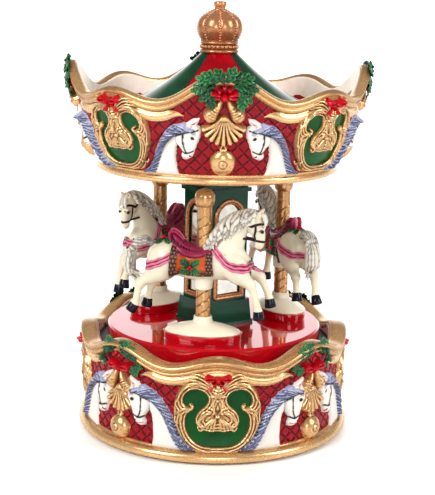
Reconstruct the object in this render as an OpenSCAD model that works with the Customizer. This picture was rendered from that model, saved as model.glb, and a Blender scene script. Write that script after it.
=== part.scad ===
// Carousel music box: a wavy-rimmed drum holds a wind-up musical movement, whose
// spring barrel turns a platform with a mirrored column, three leaping horses and
// a crowned canopy. Millimetres, +Z up, origin at the centre of the resting plane,
// front of the object towards -Y.

/* [Base] */
// Radius of the gold foot ring
foot_ring_r = 65; // [64.5:0.1:66]
// Radius of the drum's outer wall, behind the relief
drum_r = 60.5; // [60.4:0.1:60.8]
// Height at which the wavy gallery starts
drum_top_z = 43; // [42.5:0.1:43.5]
// Thickness of the felt pads under the foot ring
felt_t = 0.8; // [0.6:0.1:1]
// Depth of the relief on the drum and the canopy
relief_t = 2.4; // [2:0.1:2.6]

/* [Platform] */
// Radius of the turning platform
platform_r = 51; // [50:0.5:52]
// Height of the platform's top face
platform_z = 49.4; // [49.2:0.1:49.6]
// Thickness of the platform
platform_t = 5.8; // [5.2:0.1:6]
// How far the skirt round the platform's edge hangs below its underside
platform_skirt = 2; // [1:0.1:2]
// Side of the square column
column_side = 21.4; // [21:0.1:21.8]

/* [Horses] */
// Number of horses round the platform
horse_count = 3; // [3:1:3]
// Radius of the circle that the poles stand on
horse_ring_r = 35; // [34.5:0.5:35.5]
// Angle of the first horse from the front, towards +X
first_horse_deg = -10.5; // [-12:0.5:-9]
// Radius of a pole
pole_r = 3.4; // [3.2:0.1:3.4]
// Height of the centre of a pole's ball
ball_z = 114.7; // [114:0.1:115]

/* [Canopy] */
// Height of the canopy's underside
canopy_z = 123.5; // [123.5:0.1:124]
// Height of the top of the crown
top_z = 200.5; // [200.5:0.1:201]

/* [Movement] */
// Radius of the spring barrel
barrel_r = 13; // [13:0.1:13.2]
// Radius of the music cylinder, without its pins
cylinder_r = 6; // [5.9:0.1:6]
// Teeth on the crown wheel
crown_teeth = 36; // [36:1:36]
// Teeth on the cylinder's pinion
pinion_teeth = 12; // [12:1:12]
// Teeth of the comb
comb_teeth = 18; // [16:1:18]

/* [Hidden] */
$fn = 64;
RUNNING = 0.05;               // radial clearance of a shaft that turns in a hole
SEAT = 0.02;                  // gap between relief and the wall it sits on
OUTLINE_FN = 32;

// Floors and plates of the base, from the table up
foot_top_z = 6.2;
plate_z = 10;
plate_t = 2.5;
plate_r = 52.8;
bed_z = plate_z + plate_t;
bed_t = 2.5;
bed_top = bed_z + bed_t;
deck_z = 38.5;
deck_t = 2.5;
deck_top = deck_z + deck_t;
drum_inner_r = 54.5;
gallery_inner_r = 55.5;
boss_ring_r = 48;
platform_bottom = platform_z - platform_t;

// Shafts
spindle_r = 2;
arbor_r = 0.8;
key_arbor_r = 1.5;
fly_pivot_r = 0.4;

// Crown wheel and cylinder
crown_mean_r = 11.6;
crown_face = 2.4;
crown_module = 2 * crown_mean_r / crown_teeth;
barrel_z = 16.6;
barrel_top = 24.4;
cover_t = 1;
crown_root_z = barrel_top + cover_t;
crown_pitch_z = crown_root_z + 0.8;
tooth_rise = 0.55;
cylinder_z = crown_pitch_z + crown_module * pinion_teeth / 2;
cylinder_x = [16.8, 35.2];

// Train from the cylinder to the fly
train_module = 0.4;
wheel_teeth = 36;
small_teeth = 10;
worm_wheel_teeth = 20;
worm_starts = 2;
governor_y = train_module * (wheel_teeth + small_teeth) / 2;
worm_r = 1.2;
fly_x = 40;
fly_y = governor_y + train_module * worm_wheel_teeth / 2 + worm_r + 0.05;
fly_blade_r = 3;

// Column and canopy
column_top = canopy_z + 1;
plinth_top_z = 61;
window_z = 64;
window_w = 14;
window_arch_z = 101;
ceiling_t = 2.5;
frieze_z = 128;
frieze_top_z = 155;
roof_r = 59.5;
roof_seat_z = 147.6;
crown_z = 177.4;

// Which way each horse faces: its pole's angle from +X
function horse_angle(i) = -90 + first_horse_deg + i * 360 / horse_count;

// ---------------------------------------------------------------- helpers

// A hole or shaft along Z
module rod(r, z0, z1) {
    translate([0, 0, z0]) cylinder(r = r, h = z1 - z0);
}

// A shaft along X
module rod_x(r, x0, x1) {
    translate([x0, 0, 0]) rotate([0, 90, 0]) cylinder(r = r, h = x1 - x0);
}

// A pan-head screw whose seat is at z = 0 and whose head is below it
module screw_up(head_r, head_h, shank_r, shank_l) {
    translate([0, 0, -head_h]) difference() {
        cylinder(r = head_r, h = head_h);
        translate([-head_r, -0.25, -1]) cube([2 * head_r, 0.5, 1.5]);
    }
    cylinder(r = shank_r, h = shank_l);
}

// The same screw with its head above the seat
module screw_down(head_r, head_h, shank_r, shank_l) {
    mirror([0, 0, 1]) screw_up(head_r, head_h, shank_r, shank_l);
}

// Points of one involute flank, from the base circle to the tip: [radius, angle]
function flank(base_r, tip_r, steps) = [for (i = [0 : steps])
    let (r = base_r + (tip_r - base_r) * i / steps, a = acos(base_r / r))
    [r, tan(a) * 180 / PI - a]];

// Outline of a spur gear with a tooth centred on the +X axis
function spur_outline(teeth, mod, rise, drop, thick) =
    let (pitch_r = mod * teeth / 2, base_r = pitch_r * cos(20), root_r = pitch_r - drop,
        start_r = max(base_r, root_r), curve = flank(base_r, pitch_r + rise, 4),
        at_pitch = tan(20) * 180 / PI - 20,
        half = thick / 2 / pitch_r * 180 / PI + at_pitch)
    [for (t = [0 : teeth - 1]) let (mid = t * 360 / teeth) each concat(
        [root_r * [cos(mid - half), sin(mid - half)]],
        [for (p = curve) if (p[0] >= start_r) p[0] * [cos(mid - half + p[1]), sin(mid - half + p[1])]],
        [for (i = [4 : -1 : 0]) if (curve[i][0] >= start_r)
            curve[i][0] * [cos(mid + half - curve[i][1]), sin(mid + half - curve[i][1])]],
        [root_r * [cos(mid + half), sin(mid + half)]])];

module spur(teeth, mod, rise, drop, thick, bore, face) {
    linear_extrude(face) difference() {
        polygon(spur_outline(teeth, mod, rise, drop, thick));
        circle(bore);
    }
}

// Chain of hulled balls, each given as [x, y, z, r]
module limb(balls, fn) {
    for (i = [0 : len(balls) - 2]) hull() {
        translate([balls[i][0], balls[i][1], balls[i][2]]) sphere(balls[i][3], $fn = fn);
        translate([balls[i + 1][0], balls[i + 1][1], balls[i + 1][2]]) sphere(balls[i + 1][3], $fn = fn);
    }
}

// A ring whose top edge rises and falls; section(a) gives its outline as [r, z] points
module wavy_ring(sections, steps) {
    m = len(sections[0]);
    polyhedron(
        points = [for (i = [0 : steps - 1]) let (a = i * 360 / steps)
            for (p = sections[i]) [p[0] * sin(a), -p[0] * cos(a), p[1]]],
        faces = [for (i = [0 : steps - 1], j = [0 : m - 1])
            let (i2 = (i + 1) % steps, j2 = (j + 1) % m)
            each [[i * m + j, i * m + j2, i2 * m + j2], [i * m + j, i2 * m + j2, i2 * m + j]]]);
}

// An outline in (sideways, z) pushed out from the axis, towards azimuth az from the front
module radial_prism(az, length) {
    rotate([0, 0, az]) rotate([90, 0, 0]) linear_extrude(length) children();
}

// ---------------------------------------------------------------- outlines of the relief

// Horse's head and neck, facing +x, with its chest at the origin
head_outline = [[-9, 0], [8, 0], [6, 13], [8, 15], [12, 10.5], [15, 13], [15, 16],
    [10, 28], [2, 26.5], [-8, 14]];

module head_shape(left) {
    mirror([left ? 1 : 0, 0]) polygon(head_outline);
}

// Shield with a pinched top
module cartouche_shape(w, h) {
    translate([0, h * 0.42]) scale([w / h, 1]) circle(h * 0.42, $fn = OUTLINE_FN);
    for (side = [-1, 1]) translate([side * w * 0.24, h * 0.72]) circle(h * 0.26, $fn = OUTLINE_FN);
}

// ---------------------------------------------------------------- base

// Ring that the drum stands on, with a ledge inside for the bottom plate
module foot_ring() {
    color("goldenrod") rotate_extrude($fn = 128) polygon([[53, felt_t], [foot_ring_r - 1.5, felt_t],
        [foot_ring_r, 2.2], [foot_ring_r, 3.8], [foot_ring_r - 1.5, 5.4], [drum_r, foot_top_z],
        [drum_inner_r - SEAT, foot_top_z], [drum_inner_r - SEAT, bed_top], [51, bed_top], [51, bed_z],
        [53, bed_z]]);
}

module at_bosses() {
    for (a = [60, 180, 300]) rotate([0, 0, a]) translate([boss_ring_r, 0, 0]) children();
}

module base_drum() {
    color("firebrick") rotate_extrude($fn = 128) polygon([[drum_inner_r, foot_top_z], [drum_r, foot_top_z],
        [drum_r, drum_top_z], [gallery_inner_r, drum_top_z], [gallery_inner_r, deck_z],
        [drum_inner_r, deck_z]]);
}

// Inner floor, with the posts that the bottom plate is screwed to
module base_deck() {
    color("dimgray") difference() {
        union() {
            rod(gallery_inner_r - 0.2, deck_z, deck_top);
            at_bosses() rod(2.6, bed_z, deck_z + 0.5);
        }
        rod(4.5, deck_z - 1, deck_top + 1);
        at_bosses() rod(0.9, bed_z - 1, bed_z + 12);
    }
}

// Height of the gallery's top edge: four high crests, four low ones, troughs between
function gallery_top(az, low, high, trough, first_high) =
    let (mean = ((low + high) / 2 + trough) / 2, deep = ((low + high) / 2 - trough) / 2)
    mean + (high - low) / 2 * cos(4 * (az - first_high)) + deep * cos(8 * az);

function base_section(az) = let (t = gallery_top(az, 48.8, 51.5, 44.7, 45))
    [[gallery_inner_r, drum_top_z], [drum_r + 0.4, drum_top_z],
        [drum_r + 1, min(t - 6, drum_top_z + 0.5) + 0.4], [drum_r + 2.6, max(t - 4.6, drum_top_z + 0.6)],
        [drum_r + 3.5, max(t - 2.6, drum_top_z + 0.9)], [drum_r + 3.2, t - 0.7], [drum_r + 1.4, t],
        [gallery_inner_r + 0.8, t - 0.4], [gallery_inner_r, max(t - 2, drum_top_z + 0.4)]];

module base_gallery() {
    steps = 112;
    color("goldenrod") wavy_ring([for (i = [0 : steps - 1]) base_section(i * 360 / steps)], steps);
}

// Keeps what is outside the drum's wall by no more than the relief's depth
module on_drum(depth) {
    intersection() {
        children();
        difference() {
            rod(drum_r + depth, 6.6, drum_top_z - 0.2);
            rod(drum_r + SEAT, 6, drum_top_z);
        }
    }
}

module base_cartouches() {
    color("goldenrod") for (i = [0 : 3]) on_drum(relief_t + 0.6)
        radial_prism(i * 90, 70) translate([0, 6.8]) cartouche_shape(37, 34);
}

module base_horse_heads() {
    color("lavenderblush") for (i = [0 : 3], side = [-1, 1])
        on_drum(relief_t) radial_prism(i * 90 + side * 25.5, 70)
            translate([0, 6.8]) scale(0.9) head_shape(side < 0);
}

// Ornament hung from a crest: a ball, a shell, two bells and a bow, from the bottom up
module garland() {
    sphere(5);
    translate([0, 0, 6.4]) cylinder(r1 = 1.2, r2 = 5, h = 8.6);
    for (side = [-1, 1]) {
        translate([side * 3.6, 0, 16.4]) cylinder(r1 = 2.8, r2 = 1, h = 5.6);
        translate([side * 3.2, 0, 25.4]) sphere(2.4);
    }
}

module base_garlands() {
    color("darkgoldenrod") for (i = [0 : 3]) rotate([0, 0, 45 + i * 90]) difference() {
        translate([0, -drum_r - 0.6, 12]) rotate([1.5, 0, 0]) garland();
        rod(drum_r + SEAT, 0, 60);
    }
}

// Plate under the movement, with a slot that lets the sound out
module bottom_plate() {
    color([0.1, 0.1, 0.1]) difference() {
        rod(plate_r, plate_z, bed_z);
        rod(3.4, plate_z - 1, bed_z + 1);
        at_bosses() rod(1.2, plate_z - 1, bed_z + 1);
        at_bed_screws() rod(1.2, plate_z - 1, bed_z + 1);
        translate([-36, -14, plate_z - 1]) cube([10, 28, plate_t + 2]);
    }
}

module bottom_plate_screws() {
    color("silver") at_bosses() translate([0, 0, plate_z]) screw_up(2.3, 1.3, 0.9, 13);
}

module felt_pads() {
    color("darkgreen") for (i = [0 : 3]) rotate([0, 0, 45 + i * 90]) translate([58, 0, 0]) rod(4, 0, felt_t);
}

module spindle_bush() {
    color("goldenrod") difference() {
        union() {
            rod(4.5, deck_z, deck_top);
            rod(6, deck_top, deck_top + 1);
        }
        rod(spindle_r + RUNNING, deck_z - 1, deck_top + 2);
    }
}

// ---------------------------------------------------------------- movement: fixed parts

module at_bed_screws() {
    for (p = [[-11, 13], [-11, -20], [41, -17]]) translate([p[0], p[1], 0]) children();
}

module at_bracket_screws() {
    for (p = [[18.2, 0], [45.6, 4], [31, 12]]) translate([p[0], p[1], 0]) children();
}

module at_comb_screws() {
    for (x = [21, 31]) translate([x, -20.5, 0]) children();
}

module movement_bedplate() {
    color("silver") difference() {
        union() {
            intersection() {
                translate([-16, -25, bed_z]) cube([66, 44, bed_t]);
                rod(50.5, bed_z, bed_top);
            }
            translate([16.4, -24, bed_top]) cube([19.2, 7, cylinder_z - 0.4 - bed_top]);
        }
        rod(key_arbor_r + RUNNING, bed_z - 1, bed_top + 1);
        at_bed_screws() rod(0.8, bed_z - 1, bed_top + 1);
        at_bracket_screws() rod(0.7, bed_top - 2, bed_top + 1);
        at_comb_screws() rod(0.7, cylinder_z - 5, cylinder_z);
        translate([-12.5, -7, 0]) rod(0.7, bed_top - 2, bed_top + 1);
        translate([fly_x, fly_y, 0]) rod(fly_pivot_r + RUNNING, bed_top - 1, bed_top + 1);
    }
}

module bedplate_screws() {
    color("silver") at_bed_screws() translate([0, 0, plate_z]) screw_up(2, 1.2, 0.8, 4.6);
}

module inner_bracket() {
    color("silver") difference() {
        union() {
            translate([14.2, -3, bed_top]) cube([1.4, 6, cylinder_z + 3 - bed_top]);
            translate([15.6, -3, bed_top]) cube([5, 6, 1]);
        }
        translate([0, 0, cylinder_z]) rod_x(arbor_r + RUNNING, 13, 17);
        at_bracket_screws() rod(0.7, bed_top - 1, bed_top + 2);
    }
}

module outer_bracket() {
    color("silver") difference() {
        union() {
            translate([42.4, -3.5, bed_top]) cube([1.4, 15, cylinder_z + 2.5 - bed_top]);
            translate([43.8, 0, bed_top]) cube([3.6, 8, 1]);
        }
        translate([0, 0, cylinder_z]) rod_x(arbor_r + RUNNING, 41, 45);
        translate([0, governor_y, cylinder_z]) rod_x(arbor_r + RUNNING, 41, 45);
        at_bracket_screws() rod(0.7, bed_top - 1, bed_top + 2);
    }
}

module governor_bracket() {
    arm_z = cylinder_z + 5.2;
    color("silver") difference() {
        union() {
            translate([33.6, 7.6, bed_top]) cube([1, 8.6, arm_z + 1 - bed_top]);
            translate([33.6, 10.5, arm_z]) cube([8.4, 5.7, 1]);
            translate([28.6, 9.5, bed_top]) cube([5, 5, 1]);
        }
        translate([0, governor_y, cylinder_z]) rod_x(arbor_r + RUNNING, 33, 36);
        translate([fly_x, fly_y, 0]) rod(fly_pivot_r + RUNNING, arm_z - 1, arm_z + 2);
        at_bracket_screws() rod(0.7, bed_top - 1, bed_top + 2);
    }
}

module bracket_screws() {
    color("dimgray") at_bracket_screws() translate([0, 0, bed_top + 1]) screw_down(1.4, 0.8, 0.7, 2.8);
}

module comb() {
    pitch = (cylinder_x[1] - cylinder_x[0]) / comb_teeth;
    color("gainsboro") translate([0, 0, cylinder_z - 0.4]) linear_extrude(0.8) difference() {
        translate([cylinder_x[0], -23.5]) square([cylinder_x[1] - cylinder_x[0], 23.5 - cylinder_r - 0.8]);
        for (i = [1 : comb_teeth - 1])
            translate([cylinder_x[0] + i * pitch - 0.15, -16 + i * 0.12]) square([0.3, 12]);
        for (x = [21, 31]) translate([x, -20.5]) circle(0.7);
    }
}

module comb_screws() {
    color("dimgray") at_comb_screws() translate([0, 0, cylinder_z + 0.4]) screw_down(1.6, 1, 0.7, 4);
}

module click_spring() {
    color("gainsboro") translate([0, 0, bed_top]) linear_extrude(1) difference() {
        polygon([[-14, -8.4], [-11.2, -8.4], [-4.9, -3.6], [-5.6, -3], [-11.8, -5.6], [-14, -5.6]]);
        translate([-12.5, -7]) circle(0.7);
    }
}

module click_screw() {
    color("dimgray") translate([-12.5, -7, bed_top + 1]) screw_down(1.2, 0.5, 0.7, 2.8);
}

// ---------------------------------------------------------------- movement: moving parts

module spring_barrel() {
    color("goldenrod") difference() {
        rod(barrel_r, barrel_z, barrel_top);
        rod(barrel_r - 0.8, barrel_z + 0.8, barrel_top + 1);
        rod(key_arbor_r + RUNNING, barrel_z - 1, barrel_top);
    }
}

module crown_wheel() {
    half = 0.36;
    lean = tan(20);
    color("goldenrod") difference() {
        union() {
            rod(barrel_r, barrel_top, crown_root_z);
            for (i = [0 : crown_teeth - 1]) rotate([0, 0, (i + 0.5) * 360 / crown_teeth])
                translate([crown_mean_r - crown_face / 2, 0, crown_pitch_z])
                    rotate([90, 0, 90]) linear_extrude(crown_face) polygon([
                        [-half - 0.85 * lean, -0.85], [half + 0.85 * lean, -0.85],
                        [half - tooth_rise * lean, tooth_rise], [-half + tooth_rise * lean, tooth_rise]]);
        }
        rod(spindle_r, barrel_top - 1, crown_root_z + 1);
    }
}

// A strip wound into a spiral; its inner end clears the arbor and its outer end meets the barrel
module mainspring() {
    turns = 6;
    steps = turns * 24;
    inner = 2.6;
    outer = barrel_r - 1.4;
    function wind(i, extra) = let (r = inner + (outer - inner) * i / steps + extra, a = i * 15)
        [r * cos(a), r * sin(a)];
    color("slategray") translate([0, 0, barrel_z + 1.2]) linear_extrude(barrel_top - barrel_z - 1.8)
        polygon(concat([for (i = [0 : steps]) wind(i, 0)], [for (i = [steps : -1 : 0]) wind(i, 0.45)]));
}

module output_spindle() {
    color("silver") {
        rod(spindle_r, barrel_top, platform_z + 3.6);
        difference() {
            rod(5, crown_root_z, crown_root_z + 0.8);
            rod(spindle_r, crown_root_z - 1, crown_root_z + 2);
        }
    }
}

module spindle_nut() {
    color("silver") difference() {
        translate([0, 0, platform_z]) cylinder(r = 4, h = 2.4, $fn = 6);
        rod(spindle_r, platform_z - 1, platform_z + 4);
    }
}

module winding_key() {
    color("goldenrod") difference() {
        union() {
            rod(3, 2.4, 9.4);
            for (side = [-1, 1]) translate([side * 7, 1.1, 5.2]) rotate([90, 0, 0]) cylinder(r = 4, h = 2.2);
            translate([-7, -1.1, 3.2]) cube([14, 2.2, 4]);
        }
        rod(key_arbor_r, 5, 10);
        for (side = [-1, 1]) translate([side * 7.6, 2, 5.2]) rotate([90, 0, 0]) cylinder(r = 1.5, h = 4);
    }
}

module winding_arbor() {
    color("silver") rod(key_arbor_r, 5, barrel_top - 1.6);
}

module ratchet_wheel() {
    teeth = 12;
    color("gainsboro") translate([0, 0, bed_top + 0.2]) linear_extrude(0.9) difference() {
        polygon([for (i = [0 : teeth - 1]) let (a = i * 360 / teeth)
            each [4.6 * [cos(a), sin(a)], 3.9 * [cos(a + 2), sin(a + 2)]]]);
        circle(key_arbor_r);
    }
}

// Pins that lift the comb's teeth: each track has its own pattern round the drum
module cylinder_drum() {
    pitch = (cylinder_x[1] - cylinder_x[0]) / comb_teeth;
    color("goldenrod") translate([0, 0, cylinder_z]) difference() {
        union() {
            rod_x(cylinder_r, cylinder_x[0], cylinder_x[1]);
            for (i = [0 : comb_teeth - 1], k = [0 : 2])
                translate([cylinder_x[0] + (i + 0.5) * pitch, 0, 0])
                    rotate([(i * 67 + k * 131) % 360, 0, 0]) translate([0, 0, cylinder_r - 0.5])
                        cylinder(r = 0.22, h = 1.1, $fn = 16);
        }
        rod_x(arbor_r, cylinder_x[0] - 1, cylinder_x[1] + 1);
    }
}

module cylinder_arbor() {
    color("silver") translate([0, 0, cylinder_z]) rod_x(arbor_r, 9.8, 44.6);
}

module cylinder_pinion() {
    color("gainsboro") translate([crown_mean_r - 1, 0, cylinder_z]) rotate([0, 90, 0])
        spur(pinion_teeth, crown_module, tooth_rise, 0.8, 0.75, arbor_r, 2);
}

module cylinder_wheel() {
    color("goldenrod") translate([36.2, 0, cylinder_z]) rotate([0, 90, 0])
        spur(wheel_teeth, train_module, 0.35, 0.5, 0.5, arbor_r, 1.2);
}

module governor_arbor() {
    color("silver") translate([0, governor_y, cylinder_z]) rod_x(arbor_r, 33.2, 44.2);
}

module governor_pinion() {
    color("gainsboro") translate([35.8, governor_y, cylinder_z]) rotate([0, 90, 0])
        spur(small_teeth, train_module, 0.3, 0.5, 0.5, arbor_r, 2);
}

module worm_wheel() {
    color("ivory") translate([fly_x - 0.35, governor_y, cylinder_z]) rotate([0, 90, 0])
        rotate([0, 0, 90]) spur(worm_wheel_teeth, train_module, 0.3, 0.5, 0.4, arbor_r, 0.7);
}

// Two-start worm, cut as a twisted two-lobed section
module fly_worm() {
    lead = worm_starts * PI * train_module;
    length = 7;
    root = 0.75;
    tip = worm_r + 0.3;
    lobe = [for (i = [0 : worm_starts - 1]) let (mid = (i / worm_starts - length / lead / 2) * 360)
        each [for (p = [[-52, root], [-18, tip], [18, tip], [52, root]])
            p[1] * [cos(mid + p[0]), sin(mid + p[0])]]];
    color("silver") translate([fly_x, fly_y, 0]) {
        rod(fly_pivot_r, bed_top - 0.8, bed_top + 1.6);
        rod(0.7, bed_top + 1.5, cylinder_z - length / 2 + 0.05);
        translate([0, 0, cylinder_z - length / 2])
            linear_extrude(length, twist = -360 * length / lead, slices = 80, $fn = 8) polygon(lobe);
        rod(fly_pivot_r, cylinder_z + length / 2 - 0.05, cylinder_z + 6);
    }
}

module fly_blades() {
    color("gainsboro") translate([fly_x, fly_y, 0]) difference() {
        union() {
            rod(1.2, bed_top + 2.2, bed_top + 7.6);
            translate([-fly_blade_r, -0.2, bed_top + 2.2]) cube([2 * fly_blade_r, 0.4, 5.4]);
        }
        rod(0.7, bed_top + 1, bed_top + 9);
    }
}

// ---------------------------------------------------------------- platform and column

module platform() {
    color("crimson") difference() {
        union() {
            rotate_extrude($fn = 128) polygon([[0, platform_bottom], [platform_r - 4, platform_bottom],
                [platform_r - 4, platform_bottom - platform_skirt],
                [platform_r - 0.8, platform_bottom - platform_skirt],
                [platform_r, platform_bottom - platform_skirt + 0.8], [platform_r, platform_z - 0.9],
                [platform_r - 0.9, platform_z], [0, platform_z]]);
            rod(8, platform_bottom - 1, platform_bottom);
        }
        rod(spindle_r, platform_bottom - 2, platform_z + 1);
    }
}

module face_window(depth, grow, z0) {
    w = window_w / 2 + grow;
    translate([0, -column_side / 2 + depth, 0]) rotate([90, 0, 0]) linear_extrude(10) {
        translate([-w, z0]) square([2 * w, window_arch_z - z0]);
        translate([0, window_arch_z]) circle(w);
    }
}

module square_tube(side, z0, z1) {
    translate([-side / 2, -side / 2, z0]) cube([side, side, z1 - z0]);
}

// The column stands with one corner towards the first horse
module on_column() {
    rotate([0, 0, first_horse_deg + 45]) children();
}

module column() {
    plinth_side = 25.4;
    color("darkgreen") on_column() difference() {
        union() {
            square_tube(column_side, platform_z, column_top);
            translate([0, 0, platform_z + 1.5]) linear_extrude(plinth_top_z - platform_z - 1.5,
                scale = (column_side + 2.4) / plinth_side) square(plinth_side, center = true);
            square_tube(plinth_side + 1.2, platform_z, platform_z + 1.5);
            square_tube(column_side + 2.4, 113, 115);
        }
        square_tube(13, platform_z - 1, column_top - 3);
        for (i = [0 : 3]) rotate([0, 0, i * 90]) face_window(1.6, 0, window_z);
    }
}

module column_mirrors() {
    color("lightcyan") on_column() for (i = [0 : 3]) rotate([0, 0, i * 90])
        intersection() {
            face_window(1.6, -0.1, window_z + 0.1);
            translate([-10, -column_side / 2 + 0.6, 60]) cube([20, 1, 60]);
        }
}

// Raised rope moulding round each window
module column_window_frames() {
    color("goldenrod") on_column() for (i = [0 : 3]) rotate([0, 0, i * 90])
        intersection() {
            difference() {
                face_window(-SEAT, 1.6, window_z - 1.6);
                face_window(2, 0, window_z);
            }
            translate([-12, -column_side / 2 - 1.4, 60]) cube([24, 1.4 - SEAT, 60]);
        }
}

// ---------------------------------------------------------------- horses

// Puts a horse's own frame (+X ahead, +Y to its left, z from the table) at its pole
module at_horse(i) {
    rotate([0, 0, horse_angle(i)]) translate([horse_ring_r, 0, 0]) rotate([0, 0, 90]) children();
}

module pedestal(i) {
    step_z = platform_z + 2.6;
    color("ivory") at_horse(i) difference() {
        union() {
            translate([0, 0, platform_z]) linear_extrude(2.6)
                polygon([for (a = [0 : 7.5 : 352.5]) [16.8 * cos(a), 10.4 * sin(a)]]);
            for (k = [0 : 3]) translate([0, 0, step_z + k]) linear_extrude(1)
                polygon([for (a = [0 : 7.5 : 352.5]) [(16 - k * k * 1.1 - k) * cos(a),
                    (9.8 - k * k * 0.55 - k * 0.5) * sin(a)]]);
            rod(4.3, step_z, platform_z + 8.6);
        }
        rod(pole_r, platform_z + 1, platform_z + 12);
    }
}

module pole(i) {
    color("peru") at_horse(i) {
        rod(pole_r, platform_z + 1, ball_z - 2);
        translate([0, 0, ball_z]) sphere(4.5);
    }
}

// The horse as chains of balls: [ahead, left, height, radius]
trunk = [[15.5, 0, 85, 6.6], [9, 0, 85.6, 7.2], [0, 0, 84.2, 6.8], [-8, 0, 86.2, 7.6], [-15.5, 0, 88, 7.8]];
neck = [[14.5, 0, 87.5, 6], [16.5, 0, 95, 4.6], [19.5, 0, 101.5, 3.9], [22.5, 0, 105.4, 3.3]];
head = [[24.2, 0, 105.6, 3.2], [26.6, 0, 100.2, 2.9], [28, 0, 95, 2.3], [28, 0, 92, 2.1]];
mane = [[6.8, 0, 93.6, 1.6], [10.6, 0, 100, 2], [15.4, 0, 105.6, 2.2], [20.6, 0, 108.2, 1.9]];
tail = [[-21.6, 0, 92, 2], [-26, 0, 92.2, 2.4], [-29.6, 0, 87.6, 2.8], [-30, 0, 80.8, 2.8],
    [-26.6, 0, 74.6, 1.8]];

function foreleg(side, ahead, up) = [[15.5, side * 3, 81.5, 4.4], [22 + ahead, side * 3.4, 76.8 + up, 2.5],
    [26 + ahead, side * 3.4, 73.6 + up, 1.8], [26.8 + ahead, side * 3.4, 65.8 + up, 1.5],
    [27.6 + ahead, side * 3.4, 62.4 + up, 1.9]];
function hindleg(side, ahead, up) = [[-16, side * 3, 84.5, 5.4], [-20 + ahead, side * 3.5, 76.6 + up, 3],
    [-23.6 + ahead, side * 3.6, 71.4 + up, 1.9], [-26 + ahead, side * 3.6, 66 + up, 1.6],
    [-28.2 + ahead, side * 3.6, 62.8 + up, 1.9]];

module horse(i) {
    color("floralwhite") at_horse(i) difference() {
        union() {
            limb(trunk, 16);
            limb(neck, 14);
            limb(head, 12);
            limb(mane, 10);
            limb(tail, 10);
            for (side = [-1, 1]) {
                limb(foreleg(side, side > 0 ? 3.2 : 0, side > 0 ? 3.6 : 0), 10);
                limb(hindleg(side, side > 0 ? 5 : 0, side > 0 ? 1.4 : 0), 10);
                translate([22.6, side * 1.6, 107]) cylinder(r1 = 1.3, r2 = 0.3, h = 3.4, $fn = 8);
            }
        }
        rod(pole_r + 0.12, 70, 100);
    }
}

// ---------------------------------------------------------------- canopy

// Outer face of the frieze wall, as radius over height, and its profile between two heights
FRIEZE_STEPS = 3;
function frieze_r(z) = let (t = (z - frieze_z) / (frieze_top_z - frieze_z))
    55.2 + 9.3 * pow(max(t, 0), 0.62);

function frieze_side(grow) = [for (k = [0 : FRIEZE_STEPS])
    let (z = frieze_z + (frieze_top_z - frieze_z) * k / FRIEZE_STEPS) [frieze_r(z) + grow, z]];

module frieze_solid(grow) {
    rotate_extrude($fn = 128) polygon(concat([[0, frieze_z]], frieze_side(grow), [[0, frieze_top_z]]));
}

module canopy_drum() {
    color("firebrick") rotate_extrude($fn = 128) polygon(concat(
        [[51, canopy_z], [55, canopy_z], [56.2, canopy_z + 1.1], [56.2, canopy_z + 3.2]],
        frieze_side(0),
        [[frieze_r(frieze_top_z) - 3.2, frieze_top_z], [roof_r + 0.3, roof_seat_z + 3],
            [roof_r + 0.3, roof_seat_z],
            [roof_r - 2.2, roof_seat_z], [54, column_top + ceiling_t], [54, column_top], [51, column_top]]));
}

module canopy_ceiling() {
    color("ivory") rod(53.8, column_top, column_top + ceiling_t);
}

function canopy_section(az) = let (t = gallery_top(az, 165, 173, 161.3, 0), z0 = frieze_top_z,
        r0 = frieze_r(z0), flare = (t - z0) * 0.3)
    [[r0 - 3.2, z0], [r0, z0], [r0 + flare * 0.3, z0 + (t - z0) * 0.2],
        [r0 + flare * 0.6 + 0.6, t - 4.6], [r0 + flare * 0.8 + 1.4, t - 2.8],
        [r0 + flare + 0.9, t - 0.8], [r0 + flare - 0.4, t], [r0 + flare - 2.6, t - 0.8],
        [r0 + flare * 0.5 - 3.2, z0 + (t - z0) * 0.5]];

module canopy_gallery() {
    steps = 128;
    color("goldenrod") wavy_ring([for (i = [0 : steps - 1]) canopy_section(i * 360 / steps)], steps);
}

// Height of the concave roof over its radius
function roof_z(r) = roof_seat_z + 2.8
    + (crown_z - roof_seat_z - 2.8) * pow((roof_r - r) / (roof_r - 8), 1.9);

module canopy_roof() {
    outer = [for (k = [0 : 12]) let (r = 8 + (roof_r - 8) * k / 12) [r, roof_z(r)]];
    inner = [for (k = [10 : -1 : 0]) let (r = 8 + (roof_r - 8) * k / 12) [r, roof_z(r) - 2.4]];
    color("green") rotate_extrude($fn = 128) polygon(concat(
        outer, [[roof_r, roof_seat_z], [roof_r - 2, roof_seat_z]], inner,
        [[6, crown_z - 2.4], [6, crown_z]]));
}

// Keeps what stands outside the frieze wall by no more than the relief's depth
module on_frieze(depth) {
    intersection() {
        children();
        difference() {
            frieze_solid(depth);
            frieze_solid(SEAT);
        }
    }
}

module canopy_cartouches() {
    color("goldenrod") for (i = [0 : 3]) on_frieze(relief_t + 0.6)
        radial_prism(45 + i * 90, 80) translate([0, frieze_z + 0.6]) cartouche_shape(29, 25.6);
}

module canopy_horse_heads() {
    color("lavenderblush") for (i = [0 : 3], side = [-1, 1])
        on_frieze(relief_t) radial_prism(i * 90 + side * 19.5, 80)
            translate([0, frieze_z + 0.6]) scale(0.86) head_shape(side > 0);
}

module canopy_garlands() {
    color("darkgoldenrod") for (i = [0 : 3]) rotate([0, 0, i * 90]) difference() {
        intersection() {
            translate([0, -frieze_r(frieze_z + 5), frieze_z + 5]) rotate([14, 0, 0]) scale(0.84) garland();
            rod(foot_ring_r + 10, frieze_z + 0.2, frieze_top_z - 0.2);
        }
        frieze_solid(SEAT);
    }
}

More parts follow.
